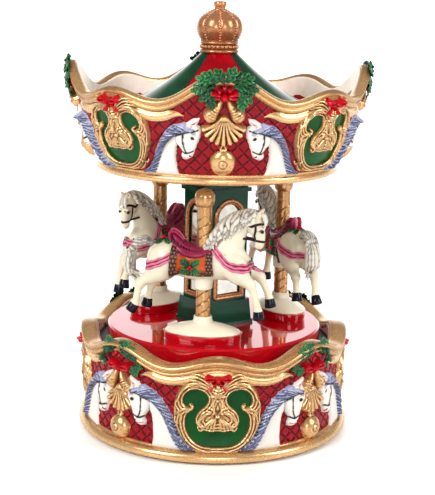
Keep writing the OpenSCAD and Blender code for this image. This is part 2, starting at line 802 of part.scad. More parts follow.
module crown_finial() {
    color("peru") rotate_extrude() polygon([[0, crown_z], [8.4, crown_z], [8.6, crown_z + 1.2],
        [8, crown_z + 1.8], [8, crown_z + 3.4], [8.6, crown_z + 4], [8.2, crown_z + 4.8],
        [9.8, crown_z + 7], [10.8, crown_z + 10.4], [10.4, crown_z + 13.4], [8.2, crown_z + 16],
        [4.6, crown_z + 17.6], [2.8, crown_z + 18.4], [3, top_z - 3.6], [2.9, top_z - 1],
        [2, top_z], [0, top_z]]);
}

// ---------------------------------------------------------------- the nodes

foot_ring();
base_drum();
base_deck();
base_gallery();
base_cartouches();
base_garlands();
base_horse_heads();
bottom_plate();
bottom_plate_screws();
felt_pads();
spindle_bush();
movement_bedplate();
bedplate_screws();
inner_bracket();
outer_bracket();
governor_bracket();
bracket_screws();
comb();
comb_screws();
click_spring();
click_screw();
spring_barrel();
crown_wheel();
mainspring();
output_spindle();
spindle_nut();
platform();
column();
column_mirrors();
column_window_frames();
for (i = [0 : horse_count - 1]) {
    pedestal(i);
    pole(i);
    horse(i);
}
canopy_ceiling();
canopy_drum();
canopy_gallery();
canopy_roof();
canopy_cartouches();
canopy_garlands();
canopy_horse_heads();
crown_finial();
winding_key();
winding_arbor();
ratchet_wheel();
cylinder_drum();
cylinder_arbor();
cylinder_pinion();
cylinder_wheel();
governor_arbor();
governor_pinion();
worm_wheel();
fly_worm();
fly_blades();
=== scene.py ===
import math

import bpy
import numpy as np
from mathutils import Matrix, Vector


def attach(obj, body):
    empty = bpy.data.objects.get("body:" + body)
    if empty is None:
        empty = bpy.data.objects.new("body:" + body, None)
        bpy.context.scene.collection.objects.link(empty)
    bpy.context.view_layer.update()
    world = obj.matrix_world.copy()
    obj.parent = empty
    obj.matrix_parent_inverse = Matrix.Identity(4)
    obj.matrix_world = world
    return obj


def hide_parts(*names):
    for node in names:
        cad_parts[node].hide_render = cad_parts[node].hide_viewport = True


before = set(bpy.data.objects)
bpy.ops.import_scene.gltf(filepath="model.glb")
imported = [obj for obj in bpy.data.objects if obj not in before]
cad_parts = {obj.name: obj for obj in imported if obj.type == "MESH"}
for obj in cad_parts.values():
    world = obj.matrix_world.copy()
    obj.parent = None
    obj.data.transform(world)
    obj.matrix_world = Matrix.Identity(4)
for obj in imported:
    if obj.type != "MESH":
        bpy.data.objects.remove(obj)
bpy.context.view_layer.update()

# Everything below is worked out in millimetres and put into metres as meshes are made.
MM = 0.001
QUARTERS = (0, 90, 180, 270)

# ---------------------------------------------------------------- sizes shared with the CAD

DRUM_R = 60.5
HORSE_RING = 35.0
FIRST_HORSE = -10.5
COLUMN_SIDE = 21.4
FRIEZE_Z, FRIEZE_TOP = 128.0, 155.0
FRIEZE_LOW_R, FRIEZE_FLARE, GALLERY_FLARE = 55.2, 9.3, 0.22
FRIEZE_MIDDLE_R = 63.0      # widths drawn on the frieze are true at this radius
ROOF_R, ROOF_INNER_R, ROOF_SEAT = 59.5, 7.6, 147.6
CROWN_Z = 177.4
POLE_R, POLE_LOW, POLE_HIGH, TWIST_LEAD = 3.4, 50.4, 113.2, 13.2


def gallery_top(az, low, high, trough, first_high):
    """Height of a wavy gallery's edge: high crests at first_high, low ones between."""
    a = np.radians(az)
    middle = (low + high) / 2
    return ((middle + trough) / 2 + (high - low) / 2 * np.cos(4 * (a - math.radians(first_high)))
            + (middle - trough) / 2 * np.cos(8 * a))


def base_top(az):
    return gallery_top(az, 48.8, 51.5, 44.7, 45)


def canopy_top(az):
    return gallery_top(az, 165, 173, 161.3, 0)


def frieze_r(z):
    t = np.clip((np.asarray(z, float) - FRIEZE_Z) / (FRIEZE_TOP - FRIEZE_Z), 0, 1.6)
    return FRIEZE_LOW_R + FRIEZE_FLARE * t ** 0.62


def on_wall(az, r, z):
    """A point at azimuth az from the front (towards +X), radius r and height z."""
    a = np.radians(az)
    return np.stack(np.broadcast_arrays(r * np.sin(a), -r * np.cos(a), z), -1)


# ---------------------------------------------------------------- meshes

def grid_faces(rows, cols, wrap_rows=False, wrap_cols=False):
    """Quads of a grid of points numbered row by row."""
    i = np.arange(rows if wrap_rows else rows - 1)
    j = np.arange(cols if wrap_cols else cols - 1)
    i, j = np.meshgrid(i, j, indexing="ij")
    i, j = i.ravel(), j.ravel()
    i2, j2 = (i + 1) % rows, (j + 1) % cols
    return np.stack([i * cols + j, i2 * cols + j, i2 * cols + j2, i * cols + j2], 1)


def fan(ring, centre, flip=False):
    """Triangles from a ring of point numbers to a centre point."""
    ring = np.asarray(ring)
    nxt = np.roll(ring, -1)
    tri = np.stack([ring, nxt, np.full(len(ring), centre)], 1)
    return tri[:, ::-1] if flip else tri


def slab_faces(rows, cols, flip=False):
    """Faces that close a grid of points and a second grid behind it into a solid."""
    n = rows * cols
    f = grid_faces(rows, cols)
    edge = np.concatenate([np.arange(cols), np.arange(2 * cols - 1, n, cols),
                           np.arange(n - 2, n - cols - 1, -1), np.arange(n - 2 * cols, 0, -cols)])
    nxt = np.roll(edge, -1)
    faces = [f, f[:, ::-1] + n, np.stack([edge, edge + n, nxt + n, nxt], 1)]
    return [g[:, ::-1] for g in faces] if flip else faces


def edges_of(faces):
    pairs = np.concatenate([np.stack([f[:, k], np.roll(f, -1, 1)[:, k]], 1)
                            for f in faces for k in range(f.shape[1])])
    pairs = np.sort(pairs, 1)
    return np.unique(pairs, axis=0)


def normals_of(v, faces):
    n = np.zeros_like(v)
    for f in faces:
        a, b = v[f[:, 2]] - v[f[:, 0]], v[f[:, -1]] - v[f[:, 1]]
        face = np.cross(a, b) if f.shape[1] == 4 else np.cross(v[f[:, 1]] - v[f[:, 0]], v[f[:, 2]] - v[f[:, 0]])
        for k in range(f.shape[1]):
            for c in range(3):
                n[:, c] += np.bincount(f[:, k], face[:, c], len(v))
    return n / np.maximum(np.linalg.norm(n, axis=1, keepdims=True), 1e-12)


def hollows(v, faces, rounds):
    """How far each point lies below its smoothed surroundings, in mm: more than 0 in a hollow."""
    e = edges_of(faces)
    count = np.maximum(np.bincount(e.ravel(), minlength=len(v)), 1)
    p = v.copy()
    for _ in range(rounds):
        q = np.stack([np.bincount(e[:, 0], p[e[:, 1], c], len(v)) + np.bincount(e[:, 1], p[e[:, 0], c], len(v))
                      for c in range(3)], 1) / count[:, None]
        p = 0.4 * p + 0.6 * q
    return ((p - v) * normals_of(v, faces)).sum(1)


def piece(name, v, faces, mat, body, slot, stands_for=(), rounds=8, paint=None):
    """A mesh from points in mm and a list of face arrays; its hollows are kept for the wash and the painted shade.
    """
    faces = [np.asarray(f, np.int64) for f in (faces if isinstance(faces, list) else [faces]) if len(f)]
    v = np.asarray(v, float)
    mesh = bpy.data.meshes.new(name)
    sizes = np.concatenate([np.full(len(f), f.shape[1]) for f in faces])
    mesh.vertices.add(len(v))
    mesh.vertices.foreach_set("co", (v * MM).astype(np.float32).ravel())
    mesh.loops.add(int(sizes.sum()))
    mesh.loops.foreach_set("vertex_index", np.concatenate([f.ravel() for f in faces]).astype(np.int32))
    mesh.polygons.add(len(sizes))
    mesh.polygons.foreach_set("loop_start", np.concatenate([[0], np.cumsum(sizes)[:-1]]).astype(np.int32))
    mesh.polygons.foreach_set("loop_total", sizes.astype(np.int32))
    mesh.update()
    mesh.polygons.foreach_set("use_smooth", np.full(len(sizes), True))
    kept = mesh.attributes.new("hollow", "FLOAT", "POINT")
    kept.data.foreach_set("value", hollows(v, faces, rounds).astype(np.float32))
    if paint is not None:
        rgba = np.concatenate([np.asarray(paint, float), np.ones((len(v), 1))], 1)
        layer = mesh.attributes.new("paint", "FLOAT_COLOR", "POINT")
        layer.data.foreach_set("color", rgba.astype(np.float32).ravel())
    mesh.materials.append(mat)
    o = bpy.data.objects.new(name, mesh)
    bpy.context.scene.collection.objects.link(o)
    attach(o, body)
    if stands_for:
        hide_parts(*stands_for)
    return o


class Parts:
    """Collects meshes, with an optional paint, to be joined into one piece."""

    def __init__(self):
        self.v, self.f, self.c, self.n = [], [], [], 0

    def add(self, v, faces, paint=None):
        v = np.asarray(v, float).reshape(-1, 3)
        for f in (faces if isinstance(faces, list) else [faces]):
            if len(f):
                self.f.append(np.asarray(f) + self.n)
        self.v.append(v)
        if paint is not None:
            self.c.append(np.broadcast_to(np.asarray(paint, float), (len(v), 3)))
        self.n += len(v)

    def add_ball(self, r, at, rings=8, sides=10, paint=None, stretch=(1, 1, 1)):
        v, f = ball(r, rings, sides, stretch)
        self.add(v + at, f, paint)

    def make(self, name, *args, **more):
        if self.c:
            more["paint"] = np.concatenate(self.c)
        by_size = [np.concatenate([f for f in self.f if f.shape[1] == k])
                   for k in (3, 4) if any(f.shape[1] == k for f in self.f)]
        return piece(name, np.concatenate(self.v), by_size, *args, **more)

    def copies(self, moves):
        """The same parts again at each of the 4x4 matrices."""
        out = Parts()
        v = np.concatenate(self.v)
        c = np.concatenate(self.c) if self.c else None
        for m in moves:
            out.add(move(m, v), self.f, c)
        return out


def turn(deg, axis="Z"):
    return np.array(Matrix.Rotation(math.radians(deg), 4, axis))


def shift(x, y, z):
    return np.array(Matrix.Translation((x, y, z)))


def spline(points, n, closed=False):
    """n points along a smooth Catmull-Rom curve through the given ones."""
    p = np.asarray(points, float)
    m = len(p)
    t = np.linspace(0, m if closed else m - 1, n, endpoint=not closed)
    i = np.minimum(t.astype(int), m - 1 if closed else m - 2)
    s = (t - i)[:, None]
    if closed:
        a, b, c, d = (p[(i + k) % m] for k in (-1, 0, 1, 2))
    else:
        a, b, c, d = (p[np.clip(i + k, 0, m - 1)] for k in (-1, 0, 1, 2))
    return 0.5 * (2 * b + (c - a) * s + (2 * a - 5 * b + 4 * c - d) * s ** 2 + (3 * b - a - 3 * c + d) * s ** 3)


def tube(path, radius, sides=10, closed=False, up=None, flat=1.0):
    """A tube along a path, its radius given per point; flat squashes it along its own up direction."""
    p = np.asarray(path, float)
    n = len(p)
    radius = np.broadcast_to(np.asarray(radius, float), (n,))
    tangent = np.roll(p, -1, 0) - np.roll(p, 1, 0)
    if not closed:
        tangent[0], tangent[-1] = p[1] - p[0], p[-1] - p[-2]
    tangent /= np.maximum(np.linalg.norm(tangent, axis=1, keepdims=True), 1e-9)
    if up is None:
        first = np.cross(tangent[0], [0.31, 0.17, 0.93])
        ups = [first / np.linalg.norm(first)]
        for k in range(1, n):
            u = ups[-1] - tangent[k] * np.dot(ups[-1], tangent[k])
            ups.append(u / max(np.linalg.norm(u), 1e-9))
        ups = np.array(ups)
    else:
        ups = np.broadcast_to(np.asarray(up, float), (n, 3))
        ups = ups - tangent * (ups * tangent).sum(1, keepdims=True)
        ups /= np.maximum(np.linalg.norm(ups, axis=1, keepdims=True), 1e-9)
    side = np.cross(tangent, ups)
    a = np.linspace(0, 2 * np.pi, sides, endpoint=False)
    ring = (np.cos(a)[None, :, None] * side[:, None, :] + flat * np.sin(a)[None, :, None] * ups[:, None, :])
    v = (p[:, None, :] + ring * radius[:, None, None]).reshape(-1, 3)
    if closed:
        return v, [grid_faces(n, sides, True, True)]
    v = np.concatenate([v, p[:1], p[-1:]])
    first, last = np.arange(sides), np.arange(sides) + (n - 1) * sides
    return v, [grid_faces(n, sides, False, True), fan(first, n * sides), fan(last, n * sides + 1, True)]


def lathe(profile, steps=96, radial=None):
    """A solid of revolution; radial(angle, index) scales the radius to flute or lobe it."""
    p = np.asarray(profile, float)
    a = np.linspace(0, 2 * np.pi, steps, endpoint=False)
    r = np.broadcast_to(p[None, :, 0], (steps, len(p)))
    if radial is not None:
        r = r * radial(a[:, None], np.arange(len(p))[None, :])
    v = np.stack([r * np.cos(a)[:, None], r * np.sin(a)[:, None],
                  np.broadcast_to(p[None, :, 1], (steps, len(p)))], -1).reshape(-1, 3)
    f = grid_faces(steps, len(p), True, False)
    return v, [f]


def ball(r, rings=12, sides=20, stretch=(1, 1, 1)):
    lat = np.linspace(-np.pi / 2, np.pi / 2, rings)
    v, f = lathe(np.stack([r * np.cos(lat), r * np.sin(lat)], 1), sides)
    return v * np.asarray(stretch), f


def move(m, v):
    m = np.asarray(m)
    return np.asarray(v) @ m[:3, :3].T + m[:3, 3]


def surface_nets(field, low, step):
    """The surface where a field on a grid changes sign; the solid is where it is below 0."""
    inside = field < 0
    corners = [(a, b, c) for a in (0, 1) for b in (0, 1) for c in (0, 1)]
    nx, ny, nz = (s - 1 for s in field.shape)
    count = sum(inside[a:a + nx, b:b + ny, c:c + nz].astype(np.int8) for a, b, c in corners)
    mixed = (count > 0) & (count < 8)
    cells = np.argwhere(mixed)
    total, hits = np.zeros((len(cells), 3)), np.zeros(len(cells))
    for a in corners:
        for k in range(3):
            if a[k]:
                continue
            b = tuple(1 if j == k else a[j] for j in range(3))
            fa = field[cells[:, 0] + a[0], cells[:, 1] + a[1], cells[:, 2] + a[2]]
            fb = field[cells[:, 0] + b[0], cells[:, 1] + b[1], cells[:, 2] + b[2]]
            cross = (fa < 0) != (fb < 0)
            t = np.where(cross, fa / np.where(cross, fa - fb, 1), 0)
            spot = np.array(a, float)[None] + t[:, None] * (np.array(b) - np.array(a))[None]
            total += spot * cross[:, None]
            hits += cross
    v = np.asarray(low) + step * (cells + total / hits[:, None])
    number = np.full(mixed.shape, -1, np.int64)
    number[mixed] = np.arange(len(cells))
    quads = []
    for k in range(3):
        j, m = (k + 1) % 3, (k + 2) % 3
        ahead = np.roll(inside, -1, k)
        change = inside != ahead
        sl = [slice(1, s - 1) for s in field.shape]
        sl[k] = slice(0, field.shape[k] - 1)
        spots = np.argwhere(change[tuple(sl)]) + [s.start for s in sl]
        out = inside[tuple(spots.T)]
        ring = []
        for dj, dm in ((-1, -1), (0, -1), (0, 0), (-1, 0)):
            c = spots.copy()
            c[:, j] += dj
            c[:, m] += dm
            ring.append(number[tuple(c.T)])
        q = np.stack(ring, 1)
        q[~out] = q[~out][:, ::-1]
        quads.append(q)
    return v, [np.concatenate(quads)]


class Clay:
    """A solid built up from soft-blended balls and limbs on a grid of signed distances."""

    FAR = 6.0

    def __init__(self, low, high, step):
        self.low, self.step = np.asarray(low, float), step
        shape = np.ceil((np.asarray(high) - self.low) / step).astype(int) + 1
        self.axes = [self.low[k] + step * np.arange(shape[k]) for k in range(3)]
        self.field = np.full(shape, self.FAR, np.float32)

    def _part(self, low, high):
        sl = []
        for k in range(3):
            a = int(np.clip((low[k] - self.low[k]) / self.step, 0, self.field.shape[k] - 1))
            b = int(np.clip((high[k] - self.low[k]) / self.step + 2, a + 1, self.field.shape[k]))
            sl.append(slice(a, b))
        x, y, z = (self.axes[k][sl[k]] for k in range(3))
        return tuple(sl), x[:, None, None], y[None, :, None], z[None, None, :]

    def blend(self, sl, d, soft):
        old = self.field[sl]
        if soft <= 0:
            self.field[sl] = np.minimum(old, d)
            return
        h = np.clip(0.5 + 0.5 * (old - d) / soft, 0, 1)
        self.field[sl] = old * (1 - h) + d * h - soft * h * (1 - h)

    def carve(self, sl, d, soft):
        old = self.field[sl]
        h = np.clip(0.5 - 0.5 * (old + d) / soft, 0, 1)
        self.field[sl] = old * (1 - h) - d * h + soft * h * (1 - h)

    def limb(self, points, radii, soft=1.0, flat=(1, 1, 1), n=None, cut=False):
        """A tapering limb along a smooth curve; flat squashes it about its own line, axis by axis."""
        p, r = np.asarray(points, float), np.asarray(radii, float)
        n = n or 4 * (len(p) - 1) + 1
        if len(p) > 2:
            both = spline(np.concatenate([p, r[:, None]], 1), n)
            p, r = both[:, :3], both[:, 3]
        flat = np.asarray(flat, float)
        room = r.max() / flat.min() + soft + self.step * 2
        sl, x, y, z = self._part(p.min(0) - room, p.max(0) + room)
        best = None
        for a, b, ra, rb in zip(p[:-1], p[1:], r[:-1], r[1:]):
            d = b - a
            t = np.clip(((x - a[0]) * d[0] + (y - a[1]) * d[1] + (z - a[2]) * d[2]) / max(d @ d, 1e-9), 0, 1)
            gap = np.sqrt(((x - a[0] - t * d[0]) * flat[0]) ** 2 + ((y - a[1] - t * d[1]) * flat[1]) ** 2
                          + ((z - a[2] - t * d[2]) * flat[2]) ** 2) - (ra + t * (rb - ra))
            best = gap if best is None else np.minimum(best, gap)
        best = best.astype(np.float32)
        (self.carve if cut else self.blend)(sl, best, soft)

    def egg(self, centre, radii, soft=1.0, tilt=0.0, cut=False):
        """An ellipsoid, tilted about the y axis."""
        c, r = np.asarray(centre, float), np.asarray(radii, float)
        room = r.max() + soft + self.step * 2
        sl, x, y, z = self._part(c - room, c + room)
        ca, sa = math.cos(math.radians(tilt)), math.sin(math.radians(tilt))
        u, w = (x - c[0]) * ca + (z - c[2]) * sa, -(x - c[0]) * sa + (z - c[2]) * ca
        k = np.sqrt((u / r[0]) ** 2 + ((y - c[1]) / r[1]) ** 2 + (w / r[2]) ** 2)
        g = np.sqrt((u / r[0] ** 2) ** 2 + ((y - c[1]) / r[1] ** 2) ** 2 + (w / r[2] ** 2) ** 2)
        d = (k * (k - 1) / np.maximum(g, 1e-6)).astype(np.float32)
        (self.carve if cut else self.blend)(sl, d, soft)

    def mesh(self):
        return surface_nets(self.field, self.low, self.step)

    def at(self, p):
        """The field at points, read smoothly between grid values."""
        q = (np.asarray(p, float) - self.low) / self.step
        q = np.clip(q, 0, np.array(self.field.shape) - 1.001)
        i = q.astype(int)
        t = q - i
        out = 0
        for a in (0, 1):
            for b in (0, 1):
                for c in (0, 1):
                    w = (t[..., 0] if a else 1 - t[..., 0]) * (t[..., 1] if b else 1 - t[..., 1]) \
                        * (t[..., 2] if c else 1 - t[..., 2])
                    out = out + w * self.field[i[..., 0] + a, i[..., 1] + b, i[..., 2] + c]
        return out

    def hit(self, start, towards, reach, steps=90):
        """Where rays from outside first meet the surface."""
        start, towards = np.broadcast_arrays(np.asarray(start, float), np.asarray(towards, float))
        t = np.linspace(0, reach, steps)
        f = self.at(start[..., None, :] + towards[..., None, :] * t[:, None])
        inside = f < 0
        first = np.argmax(inside, -1)
        first = np.where(inside.any(-1), np.maximum(first, 1), steps - 1)
        f1 = np.take_along_axis(f, first[..., None], -1)[..., 0]
        f0 = np.take_along_axis(f, first[..., None] - 1, -1)[..., 0]
        share = np.clip(f0 / np.where(np.abs(f0 - f1) < 1e-6, 1, f0 - f1), 0, 1)
        dist = t[first - 1] + share * (t[1] - t[0])
        return start + towards * dist[..., None]


# ---------------------------------------------------------------- materials

class Look:
    """A material built node by node around one Principled shader."""

    def __init__(self, name, **shader):
        self.mat = bpy.data.materials.new(name)
        self.mat.use_nodes = True
        self.tree = self.mat.node_tree
        self.shader = self.tree.nodes["Principled BSDF"]
        self.place = self.tree.nodes.new("ShaderNodeTexCoord").outputs["Object"]
        for socket, value in shader.items():
            self.shader.inputs[socket.replace("_", " ")].default_value = value

    def node(self, kind, inputs=(), **settings):
        n = self.tree.nodes.new("ShaderNode" + kind)
        for key, value in settings.items():
            setattr(n, key, value)
        for key, value in dict(inputs).items():
            if isinstance(value, bpy.types.NodeSocket):
                self.tree.links.new(value, n.inputs[key])
            else:
                n.inputs[key].default_value = value
        return n

    def noise(self, size_mm, detail=3.0, stretch=(1, 1, 1)):
        """Noise whose lumps are about size_mm across."""
        spot = self.node("Mapping", {0: self.place, 3: stretch}).outputs[0]
        return self.node("TexNoise", {"Vector": spot, "Scale": 1 / (size_mm * MM), "Detail": detail}).outputs[0]

    def scaled(self, value, low, high, to_low=0.0, to_high=1.0):
        return self.node("MapRange", {0: value, 1: low, 2: high, 3: to_low, 4: to_high}).outputs[0]

    def maths(self, how, a, b):
        return self.node("Math", {0: a, 1: b}, operation=how).outputs[0]

    def mix(self, share, a, b, how="MIX"):
        return self.node("Mix", {0: share, 6: a, 7: b}, data_type="RGBA", blend_type=how).outputs[2]

    def attribute(self, name, what="Fac"):
        return self.node("Attribute", attribute_name=name).outputs[what]

    def bump(self, height, depth_mm):
        self.link(self.node("Bump", {"Height": height, "Distance": depth_mm * MM}).outputs[0], "Normal")

    def link(self, output, socket):
        self.tree.links.new(output, self.shader.inputs[socket])


def rgba(colour):
    return (*colour, 1.0)


def painted(name, colour, wash_and_shade, rough=0.35, metal=0.0, coat=0.0, depth=(0.02, 0.16), strength=0.85,
            light=0.25, mottle=0.12, grain=0.02):
    """Brush-painted resin: a dark wash lies in the hollows, partly standing for the shade there, and the raised
    edges are painted lighter, partly as rubbed paint and partly as a painted highlight.
    A colour of None takes the colour painted on the mesh."""
    look = Look(name, Metallic=metal, Coat_Weight=coat * 0.5, Coat_Roughness=0.1,
                Specular_IOR_Level=0.5 if metal else 0.2)
    base = look.attribute("paint", "Color") if colour is None else rgba(colour)
    base = look.mix(look.scaled(look.noise(6, 4), 0.3, 0.7, 0, mottle), base, rgba(wash_and_shade))
    # Painted shade: the hollows darken towards the wash colour, both as an antique wash and as the shade that falls
    # in them
    hollow = look.attribute("hollow")
    dark = look.scaled(hollow, *depth)
    dark = look.maths("MULTIPLY", dark, look.scaled(look.noise(2.2, 4), 0.25, 0.6, 0.55, 1.0))
    base = look.mix(look.maths("MULTIPLY", dark, strength), base, rgba(wash_and_shade))
    # Painted highlight: the raised edges are lightened, both as rubbed paint and as a highlight where light catches
    # them
    edge = look.scaled(hollow, -0.02, -0.2, 0, light)
    rubbed_and_highlit = look.maths("MULTIPLY", edge, look.scaled(look.noise(2.4, 2), 0.3, 0.65, 0.35, 1.0))
    base = look.mix(rubbed_and_highlit, base, (1, 1, 1, 1), "SOFT_LIGHT")
    look.link(base, "Base Color")
    uneven = look.maths("ADD", look.scaled(look.noise(1.8, 2), 0.2, 0.8, rough - 0.06, rough + 0.08),
                        look.maths("MULTIPLY", dark, 0.25))
    look.link(uneven, "Roughness")
    look.bump(look.noise(2.2, 1.5), grain)
    return look.mat


def machined(name, colour, rough, stretch=(1, 1, 1), tarnish=(0.12, 0.08, 0.05)):
    """Bare metal with fine tool marks, faint tarnish and uneven polish."""
    look = Look(name, Metallic=1.0)
    stain = look.scaled(look.noise(3, 5), 0.45, 0.8, 0, 0.5)
    base = look.mix(stain, rgba(colour), rgba(tuple(c * 0.6 + t for c, t in zip(colour, tarnish))))
    look.link(base, "Base Color")
    marks = look.noise(0.35, 3, stretch)
    look.link(look.scaled(marks, 0.2, 0.8, rough - 0.08, rough + 0.1), "Roughness")
    look.bump(marks, 0.012)
    return look.mat


def moulded(name, colour, other, rough, grain_mm, depth_mm, sheen=0.0):
    """Plastic, felt or cream paint: a base colour that drifts towards another, with a fine surface grain."""
    look = Look(name, Sheen_Weight=sheen)
    base = look.mix(look.scaled(look.noise(5, 5), 0.3, 0.75), rgba(colour), rgba(other))
    speck = look.noise(grain_mm, 4)
    base = look.mix(look.scaled(speck, 0.35, 0.7, 0, 0.4), base, rgba(other))
    look.link(base, "Base Color")
    look.link(look.scaled(speck, 0.2, 0.8, rough - 0.08, rough + 0.1), "Roughness")
    look.bump(speck, depth_mm)
    return look.mat


def enamel(name, colour, other, rough=0.12, coat=0.15):
    """Thick glossy paint that has flowed: barely uneven, with faint brush streaks and painted shade in its hollows.
    """
    look = Look(name, Coat_Weight=coat, Coat_Roughness=0.04, Specular_IOR_Level=0.2)
    base = look.mix(look.scaled(look.noise(9, 3), 0.3, 0.7), rgba(colour), rgba(other))
    # Painted shade: the hollows darken towards a quarter of the second colour
    dark = look.scaled(look.attribute("hollow"), 0.02, 0.2)
    base = look.mix(look.maths("MULTIPLY", dark, 0.8), base, rgba(tuple(c * 0.25 for c in other)))
    look.link(base, "Base Color")
    streak = look.noise(9, 2, (1, 1, 0.3))
    look.link(look.scaled(streak, 0.3, 0.7, rough, rough + 0.07), "Roughness")
    look.bump(streak, 0.04)
    return look.mat


GOLD = (0.62, 0.375, 0.175)
gold = painted("antique_gold", GOLD, (0.050, 0.016, 0.005), 0.24, 0.65, 0.3, (-0.012, 0.06), 0.97, 0.5, 0.04, 0.004)
rim_gold = painted("rim_gold", GOLD, (0.055, 0.018, 0.006), 0.24, 0.65, 0.3, (0.03, 0.15), 0.8, 0.5, 0.04, 0.004)
crimson = painted("crimson", (0.27, 0.001, 0.008), (0.018, 0.0, 0.002), 0.2, 0, 0.3, (-0.01, 0.07), 0.95, 0.25,
                  0.04, 0.008)
white = painted("relief_white", None, (0.07, 0.035, 0.035), 0.3, 0, 0.25, (0.01, 0.13), 0.85, 0.2, 0.06)
leaf_green = painted("holly_green", None, (0.0, 0.010, 0.006), 0.2, 0, 0.5, (0.0, 0.13), 0.9, 0.5, 0.1)
bow_red = painted("bow_red", (0.46, 0.003, 0.014), (0.04, 0.0, 0.002), 0.18, 0, 0.5, (0.0, 0.13), 0.9, 0.3, 0.05)
deep_green = enamel("deep_green", (0.0, 0.078, 0.010), (0.0, 0.050, 0.007))
column_paint = painted("column_green", (0.004, 0.060, 0.030), (0.0, 0.012, 0.007), 0.13, 0, 0.6, (0.0, 0.12), 0.9,
                       0.2, 0.15)
scarlet = enamel("scarlet", (0.47, 0.0, 0.010), (0.37, 0.0, 0.007), 0.07, 1.0)
roof_red = enamel("roof_red", (0.36, 0.0, 0.009), (0.24, 0.0, 0.006), 0.08)
roof_green = enamel("roof_green", (0.0, 0.062, 0.020), (0.0, 0.032, 0.010), 0.08)
mound = painted("mound_cream", (0.72, 0.66, 0.53), (0.24, 0.15, 0.07), 0.2, 0, 0.5, (0.0, 0.16), 0.6, 0.1, 0.05)
horse_paint = painted("horse_cream", None, (0.075, 0.045, 0.03), 0.22, 0, 0.5, (0.005, 0.12), 0.85, 0.12, 0.04)
tack = painted("tack_paint", None, (0.012, 0.003, 0.003), 0.24, 0, 0.4, (0.0, 0.10), 0.9, 0.3, 0.06)
twist_gold = painted("twist_gold", (0.50, 0.28, 0.125), (0.035, 0.012, 0.004), 0.24, 0.7, 0.3, (-0.01, 0.07), 1.0,
                     0.1, 0.0)
copper = painted("crown_copper", (0.50, 0.235, 0.115), (0.05, 0.014, 0.005), 0.27, 0.6, 0.2, (-0.01, 0.08), 0.95,
                 0.35, 0.2)
cream = moulded("ceiling_cream", (0.72, 0.62, 0.50), (0.55, 0.42, 0.32), 0.5, 0.6, 0.03)
inner_cream = moulded("inner_cream", (0.90, 0.84, 0.76), (0.80, 0.66, 0.54), 0.42, 0.6, 0.03)
black_plastic = moulded("black_plastic", (0.016, 0.016, 0.017), (0.03, 0.03, 0.03), 0.42, 0.25, 0.02)
felt_look = moulded("green_felt", (0.012, 0.075, 0.035), (0.03, 0.13, 0.06), 0.9, 0.12, 0.12, 0.7)
nylon_look = moulded("nylon", (0.78, 0.76, 0.68), (0.70, 0.67, 0.58), 0.38, 0.5, 0.01)
brass_look = machined("brass", (0.80, 0.58, 0.25), 0.26)
steel_look = machined("steel", (0.60, 0.61, 0.63), 0.26, (1, 1, 0.15), (0.05, 0.05, 0.05))
dark_steel_look = machined("dark_steel", (0.24, 0.24, 0.26), 0.34, (1, 1, 1), (0.03, 0.02, 0.02))
zinc_look = machined("zinc", (0.52, 0.52, 0.54), 0.46, (1, 1, 1), (0.05, 0.05, 0.05))
mirror_look = Look("mirror_glass", Metallic=1.0)
mirror_look.link(mirror_look.mix(mirror_look.scaled(mirror_look.noise(4, 4), 0.4, 0.7), (0.62, 0.60, 0.55, 1),
                                 (0.50, 0.47, 0.42, 1)), "Base Color")
mirror_look.link(mirror_look.scaled(mirror_look.noise(1.5, 4), 0.4, 0.75, 0.03, 0.16), "Roughness")

for node_name, material in {
        "bottom_plate": black_plastic, "base_deck": black_plastic, "felt_pads": felt_look,
        "movement_bedplate": zinc_look, "worm_wheel": nylon_look, "fly_blades": nylon_look,
        "canopy_ceiling": cream, "column_mirrors": mirror_look.mat,
        **dict.fromkeys(("spindle_bush", "spring_barrel", "crown_wheel", "winding_key", "cylinder_drum",
                         "cylinder_wheel"), brass_look),
        **dict.fromkeys(("bottom_plate_screws", "bedplate_screws", "inner_bracket", "outer_bracket",
                         "governor_bracket", "comb", "output_spindle", "spindle_nut", "winding_arbor",
                         "cylinder_arbor", "cylinder_pinion", "governor_arbor", "governor_pinion",
                         "fly_worm"), steel_look),
        **dict.fromkeys(("bracket_screws", "comb_screws", "click_spring", "click_screw", "mainspring",
                         "ratchet_wheel"), dark_steel_look)}.items():
    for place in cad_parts[node_name].material_slots:
        place.material = material

# ---------------------------------------------------------------- camera, light and floor

CAMERA_FROM_AXIS, CAMERA_HEIGHT = 0.57142, 0.20733
CAMERA_YAW, CAMERA_PITCH, CAMERA_ROLL = -2.3, 12.09, 1.15
camera = bpy.data.objects.new("camera", bpy.data.cameras.new("camera"))
camera.data.lens, camera.data.sensor_width = 88.9, 36.0
camera.data.shift_x = 0.0045
camera.matrix_world = (Matrix.Translation((CAMERA_FROM_AXIS * math.sin(math.radians(CAMERA_YAW)),
                                           -CAMERA_FROM_AXIS * math.cos(math.radians(CAMERA_YAW)), CAMERA_HEIGHT))
                       @ Matrix.Rotation(math.radians(CAMERA_YAW), 4, "Z")
                       @ Matrix.Rotation(math.radians(90 - CAMERA_PITCH), 4, "X")
                       @ Matrix.Rotation(math.radians(CAMERA_ROLL), 4, "Z"))
bpy.context.scene.collection.objects.link(camera)
bpy.context.scene.camera = camera


def lamp(name, at, aim, size, power, glossy=True):
    data = bpy.data.lights.new(name, "AREA")
    data.shape, data.size, data.size_y = "RECTANGLE", size[0], size[1]
    data.energy = power
    o = bpy.data.objects.new(name, data)
    o.location = at
    o.visible_glossy = glossy
    o.rotation_euler = (Vector(aim) - Vector(at)).to_track_quat("-Z", "Y").to_euler()
    bpy.context.scene.collection.objects.link(o)


lamp("softbox_left", (-0.75, -0.65, 0.75), (0, 0, 0.1), (0.45, 0.7), 9.5)
lamp("softbox_right", (0.85, -0.45, 0.6), (0, 0, 0.1), (0.4, 0.7), 6.0)
lamp("front_fill", (0.05, -1.3, 0.35), (0, 0, 0.1), (0.5, 0.4), 3.6)
lamp("backdrop", (0, 4.2, 3.0), (0, 4.2, 0), (7, 6), 250.0, glossy=False)

